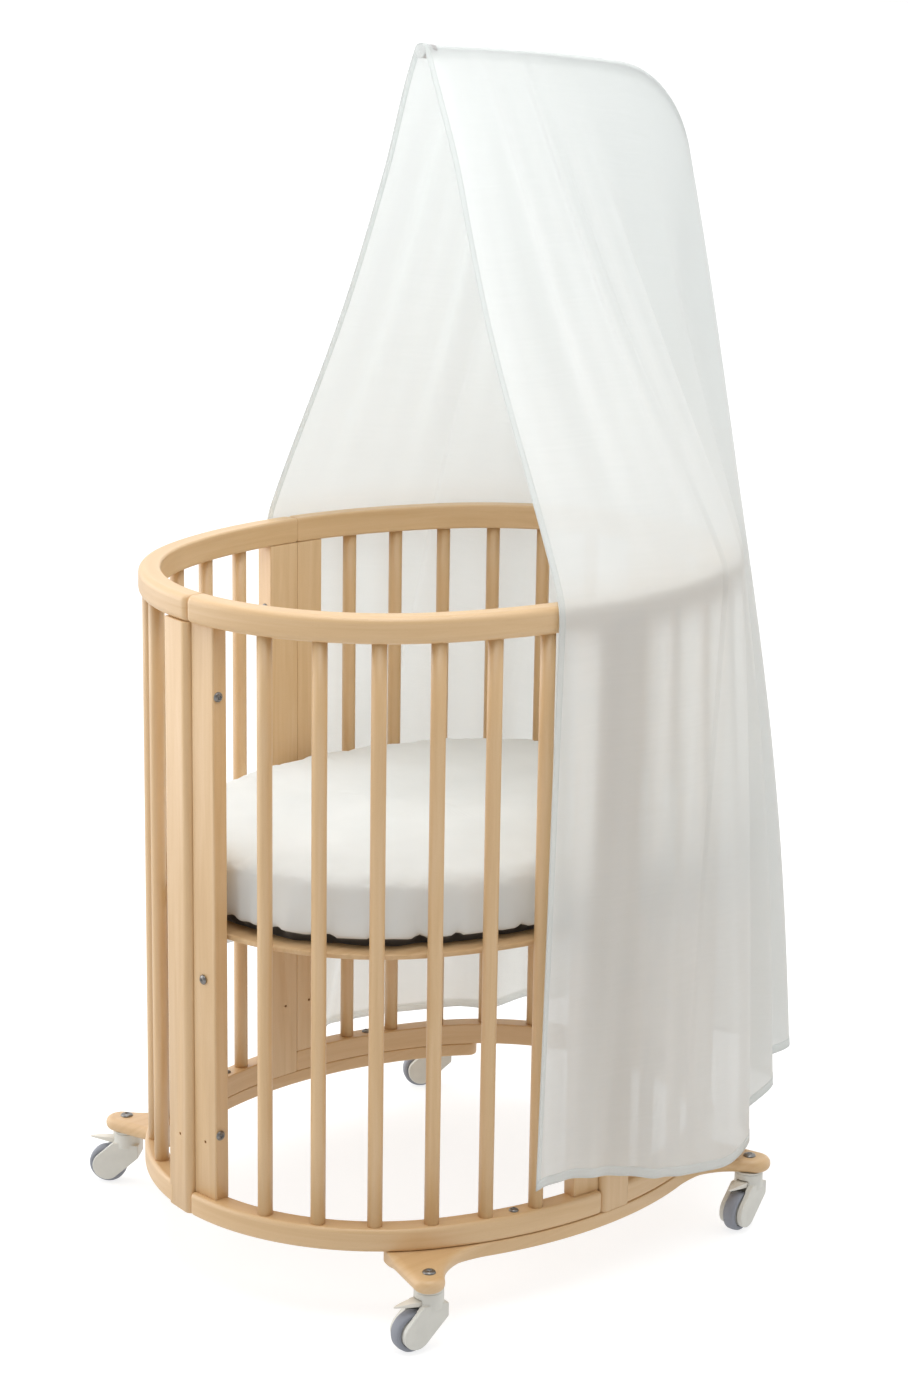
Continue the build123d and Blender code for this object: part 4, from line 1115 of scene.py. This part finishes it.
def wrinkled(points):
    """Upright wrinkles in the side, and small notches where the elastic gathers the hem.

    Round the middle by an angle a, a wave is a sum of sines of 17 a, 41 a and 67 a,
    tucks are the peaks of sin 23 a and notches those of sin 36 a, each swung by a
    slower sine. All fade out towards the top and towards the middle.
    """
    wave_depth, tuck_depth, notch_depth, draw_in = 0.0020, 0.0036, 0.0040, 0.0016
    notch_lift, hem_lift, top_lift, highest = 0.0030, 0.0010, 0.0009, mattress_high + 0.022
    reach_at_quarters = [0.33, 0.28, 0.22, 0.28, 0.33]
    turn = np.arctan2(points[:, 1], points[:, 0])
    rise = points[:, 2] - mattress_low
    reach = np.hypot(points[:, 0], points[:, 1])
    rough_reach = np.interp(turn % np.pi, np.linspace(0, np.pi, 5), reach_at_quarters)
    near_side = np.clip((reach / rough_reach - 0.93) / 0.05, 0, 1)
    wave = (np.sin(17 * turn + 0.7 * np.sin(5 * turn)) + 0.7 * np.sin(41 * turn + 1.3 * np.sin(7 * turn))
            + 0.5 * np.sin(67 * turn + 2))
    tuck = np.clip(np.sin(23 * turn + 1.9 * np.sin(4 * turn + 0.5)) - 0.72, 0, 1) / 0.28
    notch = np.clip(np.sin(36 * turn + 2.2 * np.sin(3 * turn)) - 0.55, 0, 1) / 0.45
    fade = np.clip((mattress_height - rise - 0.008) / 0.040, 0, 1)
    low_edge = np.clip((0.030 - rise) / 0.018, 0, 1) * np.clip((rise - 0.004) / 0.006, 0, 1)
    top_edge = np.clip((rise - mattress_height + 0.030) / 0.02, 0, 1)
    inward = (wave_depth * wave - tuck_depth * tuck) * fade - notch_depth * notch * low_edge - draw_in
    points[:, :2] *= (1 + inward * near_side / reach)[:, None]
    points[:, 2] += (notch_lift * notch + hem_lift * wave) * low_edge * near_side
    points[:, 2] += top_lift * wave * top_edge * near_side
    points[:, 2] = np.clip(points[:, 2], mattress_low, highest)
    return points


foam = solid_of("mattress_in_sheet", [mattress_rings()])
mesh, points = swollen(foam)
bpy.data.objects.remove(foam)
scene.frame_set(1)
mesh.vertices.foreach_set("co", wrinkled(points).ravel())
smooth_shaded(mesh)
# painted shade: the underside and the lip's lower part are near black for the deep shadow under the
# mattress, up to where the sheet is turned under
layer = mesh.attributes.new("unshaded", "FLOAT", "POINT")
unshaded_points = np.arange(len(points)) // oval_points >= painted_shade_rings
layer.data.foreach_set("value", unshaded_points.astype(np.float32))
mattress = fitted("mattress_in_sheet", mesh, sheet_cotton, ["mattress"], "mattress")


# ---------------------------------------------------------------- rod
# White enamelled steel tube that stands in two screwed holders at the head end,
# bends over the crib and ends in a steel cap. It carries the drape.
rod_x, rod_r, tip_x = half_length + 0.015, 0.007, -0.037
rod_foot, rod_top = heights("canopy_rod")
bend_r, bend_turn, bend_z = 0.140, np.radians(84), rod_top - 0.1795
arm_bow, bore_r, bore_depth, rim_round = 0.0095, 0.0056, 0.020, 0.0003


def ridge(share):
    """Rod axis and its outward normal at a share of the way from tip to foot of the bend.

    From tip to bend it is bowed upwards by arm_bow sin(pi share).
    """
    arm_x = rod_x - bend_r + bend_r * np.cos(bend_turn)
    arm_z = bend_z + bend_r * np.sin(bend_turn)
    arm = (arm_x - tip_x) / np.sin(bend_turn)
    run = share * (arm + bend_r * bend_turn)
    turn = np.clip(bend_turn - (run - arm) / bend_r, 0, bend_turn)
    left = np.clip(arm - run, 0, None)
    on_arm = run < arm
    x = np.where(on_arm, arm_x - left * np.sin(bend_turn), rod_x - bend_r + bend_r * np.cos(turn))
    z = np.where(on_arm, arm_z + left * np.cos(bend_turn), bend_z + bend_r * np.sin(turn))
    return x, z + arm_bow * np.sin(np.pi * share), np.cos(turn), np.sin(turn)


def rod_tube():
    """Hollow enamelled tube: straight up from its open foot, round the bend and along the arm."""
    around = np.linspace(0, 2 * np.pi, 40, endpoint=False)
    profile = [(rod_foot + bore_depth, bore_r), (rod_foot + rim_round, bore_r),
               (rod_foot, bore_r + rim_round), (rod_foot, rod_r - rim_round),
               (rod_foot + rim_round, rod_r)]
    profile += [(level, rod_r) for level in np.linspace(rod_foot + 0.01, bend_z - 0.02, 12)]
    rows = [(rod_x, level, 1.0, 0.0, radius) for level, radius in profile]
    for share in np.linspace(1, 0.002, 70):
        x, z, normal_x, normal_z = (float(value) for value in ridge(np.array(share)))
        rows.append((x, z, normal_x, normal_z, rod_r))
    rings = [np.stack([x + radius * np.cos(around) * normal_x, radius * np.sin(around),
                       z + radius * np.cos(around) * normal_z], -1)
             for x, z, normal_x, normal_z, radius in rows]
    return lathe_skin(np.array(rings))


white_enamel = plastic("white enamel", (0.88, 0.88, 0.87), 0.3, Coat_Weight=0.3)
white_plastic = plastic("white plastic", (0.86, 0.86, 0.85), 0.4)
piece("drape_rod_tube", [rod_tube()], white_enamel, ["canopy_rod"])
refinished(white_plastic, "rod_holders")
refinished(bright_steel, "rod_holder_screws", "rod_tip_cap")


# ---------------------------------------------------------------- drape
# One wide piece of voile over the rod: stretched from the ridge to the rails,
# then hanging free to an uneven hem. Both front edges and the hem are turned.
rail_top = rail_box[1].z


def through(keys, values, at):
    """Smooth curve through (key, value) points: cubic pieces that share slopes."""
    keys, values = np.asarray(keys, float), np.asarray(values, float)
    slope = np.gradient(values, keys)
    i = np.clip(np.searchsorted(keys, at, side="right") - 1, 0, len(keys) - 2)
    width = keys[i + 1] - keys[i]
    t = (at - keys[i]) / width
    return ((1 + 2 * t) * (1 - t) ** 2 * values[i] + t * (1 - t) ** 2 * width * slope[i]
            + t * t * (3 - 2 * t) * values[i + 1] + t * t * (t - 1) * width * slope[i + 1])


# Folds round the head, for each key column from the crib's side to its back:
# share of the way from front edge to back, where it leaves the ridge, angle and
# reach about (head_middle, 0) at the rails and at the hem, hem height, and how
# far the flank above the rails falls inwards.
head_middle = 0.110
fold_columns = np.array([
    (0.48, 0.300, 67.3, 0.296, 90, 0.345, 0.122, 0.016),
    (0.56, 0.365, 56.5, 0.293, 72, 0.338, 0.104, 0.008),
    (0.62, 0.420, 48.5, 0.293, 59, 0.341, 0.104, 0.000),
    (0.675, 0.520, 41.0, 0.290, 50, 0.318, 0.112, 0.034),
    (0.73, 0.640, 33.0, 0.301, 41, 0.358, 0.140, 0.006),
    (0.785, 0.800, 26.0, 0.299, 34, 0.341, 0.150, 0.020),
    (0.844, 0.930, 20.0, 0.331, 27, 0.406, 0.158, 0.000),
    (0.92, 0.985, 9.5, 0.307, 13, 0.338, 0.152, 0.014),
    (1.00, 1.000, 0.0, 0.315, 0, 0.360, 0.150, 0.000),
])
fold_share, fold_leave, rail_angle, rail_reach, hem_angle, hem_reach, hem_level, fold_sag = fold_columns.T


# The sheet's columns run from the right front edge round the head to the left
# one. back is 0 at both front edges and 1 at the head; part is 1 at the first fold.
columns, wrap_rows, flank_rows, drop_rows = 330, 9, 62, 74
across = np.linspace(-1, 1, columns)[None]
back = 1 - np.abs(across)
on_right = across < 0
side = np.where(on_right, -1.0, 1.0)
on_side = back < fold_share[0]
part = back / fold_share[0]
# how far past the side seams the front edges cross the rails, and the hem's corners
right_front, left_front, rail_gap, rail_bite = 0.091, 0.028, 0.004, 0.001
right_corner_x, left_corner_x, corner_y, corner_flare = -0.122, -0.040, 0.322, 0.023
right_hem, right_hem_fall, left_hem, left_hem_rise = 0.159, 0.037, 0.118, 0.032


def head_line(angles, reaches):
    """Plan points at each column's angle and reach about the head's middle."""
    angle = np.radians(through(fold_share, angles, back))
    reach = through(fold_share, reaches, back)
    return head_middle + reach * np.cos(angle), reach * np.sin(angle)


def rail_line():
    """Where the columns cross the rails: a gap outside them, then round the head's folds."""
    front_run = np.where(on_right, right_front, left_front)
    run = (quarter_run - end_run + front_run) * np.minimum(part, 1) - front_run
    x, y = oval(quarter_run - np.abs(run), rail_gap)
    head_x, head_y = head_line(rail_angle, rail_reach)
    return (np.where(on_side, np.where(run < 0, -x, x), head_x), np.where(on_side, y, head_y),
            rail_top - rail_bite + 0 * back)


def hem_line():
    """Where the columns end: straight from the front corners, then round the head's folds."""
    corner_x = np.where(on_right, right_corner_x, left_corner_x)
    head_x, head_y = head_line(hem_angle, hem_reach)
    x = np.where(on_side, corner_x + (head_middle - corner_x) * part, head_x)
    y = np.where(on_side, corner_y + corner_flare * eased(part, 0, 1), head_y)
    fall = right_hem_fall * eased(part, 0.2, 1.15) / eased(np.array(1.0), 0.2, 1.15)
    z = np.where(on_side, right_hem - fall, through(fold_share, hem_level, back))
    return x, y, np.where(on_right, z, left_hem + left_hem_rise * eased(back, 0.6, 0.95))


def over_rod(rail_x, rail_y, rail_z):
    """Rows round the rod, from its ridge to the tangent on which the cloth leaves it."""
    leaves = np.where(on_side, 0.30 * part + 0.02 * np.sin(np.pi * part),
                      through(fold_share, fold_leave, back))
    axis_x, axis_z, normal_x, normal_z = ridge(leaves)
    rod_gap, more_at_edge = 0.0009, 0.0014
    rod_reach = rod_r + rod_gap + more_at_edge * (1 - eased(back, 0.012, 0.04))
    to_rail = np.arctan2(rail_y, (rail_x - axis_x) * normal_x + (rail_z - axis_z) * normal_z)
    last = np.clip(to_rail - np.pi / 2, 0, np.pi / 2)
    angle = np.linspace(0, 1, wrap_rows)[:, None] * last
    return (axis_x + rod_reach * np.cos(angle) * normal_x, rod_reach * np.sin(angle),
            axis_z + rod_reach * np.cos(angle) * normal_z)


def flank(top_x, top_y, top_z, rail_x, rail_y, rail_z):
    """Rows from the rod to the rails, pulled inwards by the sag and the creases.

    Down a column t the sag is sin(pi t)^2; the creases are two sines across the
    columns that swell and fade as sin(pi t^0.8).
    """
    t = np.linspace(0, 1, flank_rows + 1)[1:, None]
    x = top_x + (rail_x - top_x) * t
    y = top_y + (rail_y - top_y) * t
    z = top_z + (rail_z - top_z) * t
    right_sag = through([0, 0.18, 0.35, 0.7, 1], [0.018, 0.030, 0.016, 0.010, 0.010],
                        np.minimum(part, 1))
    left_sag, crease_depth = 0.014, 0.0042
    side_sag = np.where(on_right, right_sag, left_sag)
    sag = np.where(on_side, side_sag, through(fold_share, fold_sag, back))
    sag_x, sag_y = 0.17, -0.02
    inward_x, inward_y = rail_x - sag_x, rail_y - sag_y
    size = np.hypot(inward_x, inward_y)
    inward_x, inward_y = inward_x / size * eased(back, 0.45, 0.7), inward_y / size
    lean = np.arctan2(rail_y - top_y, top_z - rail_z)
    crease = np.where(
        on_right,
        0.9 * np.sin(2 * np.pi * (back * 6.1 - 0.9)) + 0.6 * np.sin(2 * np.pi * (back * 10.3 + 0.2)),
        1.1 * np.sin(2 * np.pi * (back * 5.2 + 0.1)) + 0.7 * np.sin(2 * np.pi * (back * 8.7 + 0.6)))
    pull = sag * np.sin(np.pi * t) ** 2
    pull = pull - crease_depth * crease * np.sin(np.pi * t**0.8) * eased(back, 0, 0.05)
    x = x - pull * inward_x
    y = y - pull * inward_y * np.cos(lean)
    z = z - pull * np.sin(lean)
    return np.stack([x, y * side, z], -1)


def drop(rail_x, rail_y, rail_z, hem_x, hem_y, hem_z):
    """Rows from the rails to the hem, swung out a little and rippled along their normal.

    The ripples are two sines of the metres along the sheet that grow by a smooth step.
    """
    t = np.linspace(0, 1, drop_rows + 1)[1:, None]
    swing = t + 0.15 * np.sin(np.pi * t) * eased(back, 0.45, 0.7)
    x = rail_x + (hem_x - rail_x) * swing
    y = rail_y + (hem_y - rail_y) * swing
    z = rail_z + (hem_z - rail_z) * t
    span_x, span_y = np.gradient(x, axis=1), np.gradient(y * side, axis=1)
    size = np.hypot(span_x, span_y)
    out_x, out_y = span_y / size, -span_x / size
    metres, ripple_depth = back * 0.75, 0.0026
    ripple = np.sin(2 * np.pi * (metres / 0.137 + 0.12 * t + np.where(on_right, 0.15, 0.4)))
    ripple = ripple + 0.6 * np.sin(2 * np.pi * (metres / 0.071 + 0.6 - 0.2 * t))
    shove = ripple_depth * ripple * eased(t, 0, 0.6)
    return np.stack([x + out_x * shove, y * side + out_y * shove, z], -1)


def drape_grid():
    """Points of the cloth, rows from the ridge down: over the rod, down the flank, then the drop."""
    rail = rail_line()
    x, y, z = over_rod(*rail)
    wrap = np.stack([x, y * side, z], -1)
    grid = np.concatenate([wrap, flank(x[-1:], y[-1:], z[-1:], *rail), drop(*rail, *hem_line())])
    # the front edges run past the rod's cap
    fallen = grid[0, :, 2] - grid[:, :, 2]
    grid[:, :, 0] -= 0.0085 * (1 - eased(fallen, 0.01, 0.16)) * (1 - eased(back, 0, 0.09))
    # one soft turn where the cloth crosses the rail
    turn_row = wrap_rows + flank_rows
    for _ in range(3):
        span = slice(turn_row - 4, turn_row + 5)
        above, below = slice(turn_row - 5, turn_row + 4), slice(turn_row - 3, turn_row + 6)
        grid[span] = 0.5 * grid[span] + 0.25 * (grid[above] + grid[below])
    return grid


def cloth_piece(name, grid, flat, thickness, material):
    """Open sheet over a grid, with metres of cloth as its weave coordinates."""
    count, size = grid.shape[:2]
    i, j = np.meshgrid(np.arange(count - 1), np.arange(size - 1), indexing="ij")
    faces = np.stack([i * size + j, (i + 1) * size + j, (i + 1) * size + j + 1, i * size + j + 1], -1)
    mesh = bpy.data.meshes.new(name)
    mesh.from_pydata(grid.reshape(-1, 3), [], faces.reshape(-1, 4).tolist())
    layer = mesh.uv_layers.new(name="weave")
    corner = faces.reshape(-1)
    layer.data.foreach_set("uv", flat.reshape(-1, 2)[corner].astype(np.float32).ravel())
    mesh.materials.append(material)
    smooth_shaded(mesh)
    made = linked(name, mesh)
    wall = made.modifiers.new("thickness", "SOLIDIFY")
    wall.thickness = thickness
    wall.offset = 0
    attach(made, "crib")
    return made


def voile(name, cover):
    """Sheer cotton voile: a fine weave that lets part of the light through."""
    material, tree, shader = new_material(name, 0.8, Sheen_Weight=0.15)
    cloth = mapped_place(tree, "weave")
    threads = noise(tree, stretched(tree, cloth, (2600, 2600, 1)), 1.0, 1, 0.5)
    slubs = noise(tree, stretched(tree, cloth, (12, 260, 1)), 1.0, 3, 0.6)
    tree.links.new(ramp(tree, slubs, (0.3, (0.89, 0.91, 0.90)), (0.7, (0.93, 0.945, 0.94))),
                   shader.inputs["Base Color"])
    low, high = max(0, cover - 0.12), min(1, cover + 0.12)
    alpha = ramp(tree, threads, (0.35, (low,) * 3), (0.65, (high,) * 3))
    tree.links.new(alpha, shader.inputs["Alpha"])
    bumped(tree, shader, slubs, 0.1, 0.0003)
    glow = tree.nodes.new("ShaderNodeBsdfTranslucent")
    glow.inputs["Color"].default_value = (0.93, 0.95, 0.945, 1)
    both = tree.nodes.new("ShaderNodeMixShader")
    both.inputs[0].default_value = 0.33
    output = tree.nodes["Material Output"]
    link(tree, (shader, 0), (both, 1))
    link(tree, (glow, 0), (both, 2))
    link(tree, (both, 0), (output, 0))
    return material


def border_band(lines, start, end, count, lift):
    """Band along a sheet's border, from one distance in from it to another.

    Each line of points starts on the border and runs into the cloth; the band
    stands off the sheet along the sheet's normal.
    """
    steps = np.linalg.norm(np.diff(lines, axis=1), axis=2)
    depth = np.concatenate([np.zeros((len(lines), 1)), np.cumsum(steps, 1)], 1)
    wanted = np.linspace(start, end, count)
    band = np.array([[np.interp(wanted, depth[i], lines[i, :, k]) for k in range(3)]
                     for i in range(len(lines))]).transpose(0, 2, 1)
    normal = np.cross(np.gradient(band, axis=0), np.gradient(band, axis=1))
    normal /= np.maximum(np.linalg.norm(normal, axis=2, keepdims=True), 1e-12)
    return band + lift * normal


def flat_metres(grid):
    """Distances down and across a grid of cloth, as its weave coordinates."""
    down = np.linalg.norm(np.diff(grid, axis=0), axis=2)
    down = np.concatenate([np.zeros((1, grid.shape[1])), np.cumsum(down, 0)])
    across = np.linalg.norm(np.diff(grid, axis=1), axis=2)
    across = np.concatenate([np.zeros((grid.shape[0], 1)), np.cumsum(across, 1)], 1)
    return np.stack([across, down], -1)


# the sheet is as wide all the way up as its hem
voile_thickness, hem_thickness, hem_stand_off = 0.0004, 0.0003, 0.0006
grid = drape_grid()
flat_place = flat_metres(grid)
flat_place[:, :, 0] = flat_place[-1, :, 0]
drape = cloth_piece("drape", grid, flat_place, voile_thickness, voile("cotton voile", 0.60))
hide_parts("canopy_drape")

# the pocket sewn across the rod's end
tip_axis_x, tip_axis_z, tip_normal_x, tip_normal_z = (float(value) for value in ridge(np.array(0.0)))
pocket_r, pocket_front, pocket_bulge, pocket_drop = 0.0092, 0.0075, 0.0012, 0.0004
spokes = np.linspace(0, 2 * np.pi, 33)
radii = np.linspace(0.0004, pocket_r, 6)[:, None]
front = pocket_front + pocket_bulge * np.cos(np.pi * radii / (2 * pocket_r))
rise = radii * np.cos(spokes) - pocket_drop
pocket = np.stack([tip_axis_x - front * tip_normal_z + rise * tip_normal_x,
                   radii * np.sin(spokes),
                   tip_axis_z + front * tip_normal_x + rise * tip_normal_z], -1)

# turned hems down both front edges and along the bottom, and the casing's seam
hem_voile = voile("hemmed voile", 0.42)
seam_voile = voile("seam voile", 0.25)
edge_hem, bottom_hem, casing = (0.0, 0.0085), (0.0, 0.012), (0.004, 0.016)
ridge_rows = slice(4, 20)
bands = [cloth_piece("drape_rod_pocket", pocket, flat_metres(pocket), hem_thickness,
                     drape.data.materials[0])]
for name, lines, (start, end), cloth in (
    ("drape_right_hem", grid[1:, :14], edge_hem, hem_voile),
    ("drape_left_hem", grid[1:, :-15:-1], edge_hem, hem_voile),
    ("drape_bottom_hem", grid[:-20:-1].transpose(1, 0, 2), bottom_hem, hem_voile),
    ("drape_right_casing", grid[ridge_rows, 4:150].transpose(1, 0, 2), casing, seam_voile),
    ("drape_left_casing", grid[ridge_rows, -5:-151:-1].transpose(1, 0, 2), casing, seam_voile),
):
    band = border_band(lines, start, end, 4, hem_stand_off)
    bands.append(cloth_piece(name, band, flat_metres(band), hem_thickness, cloth))
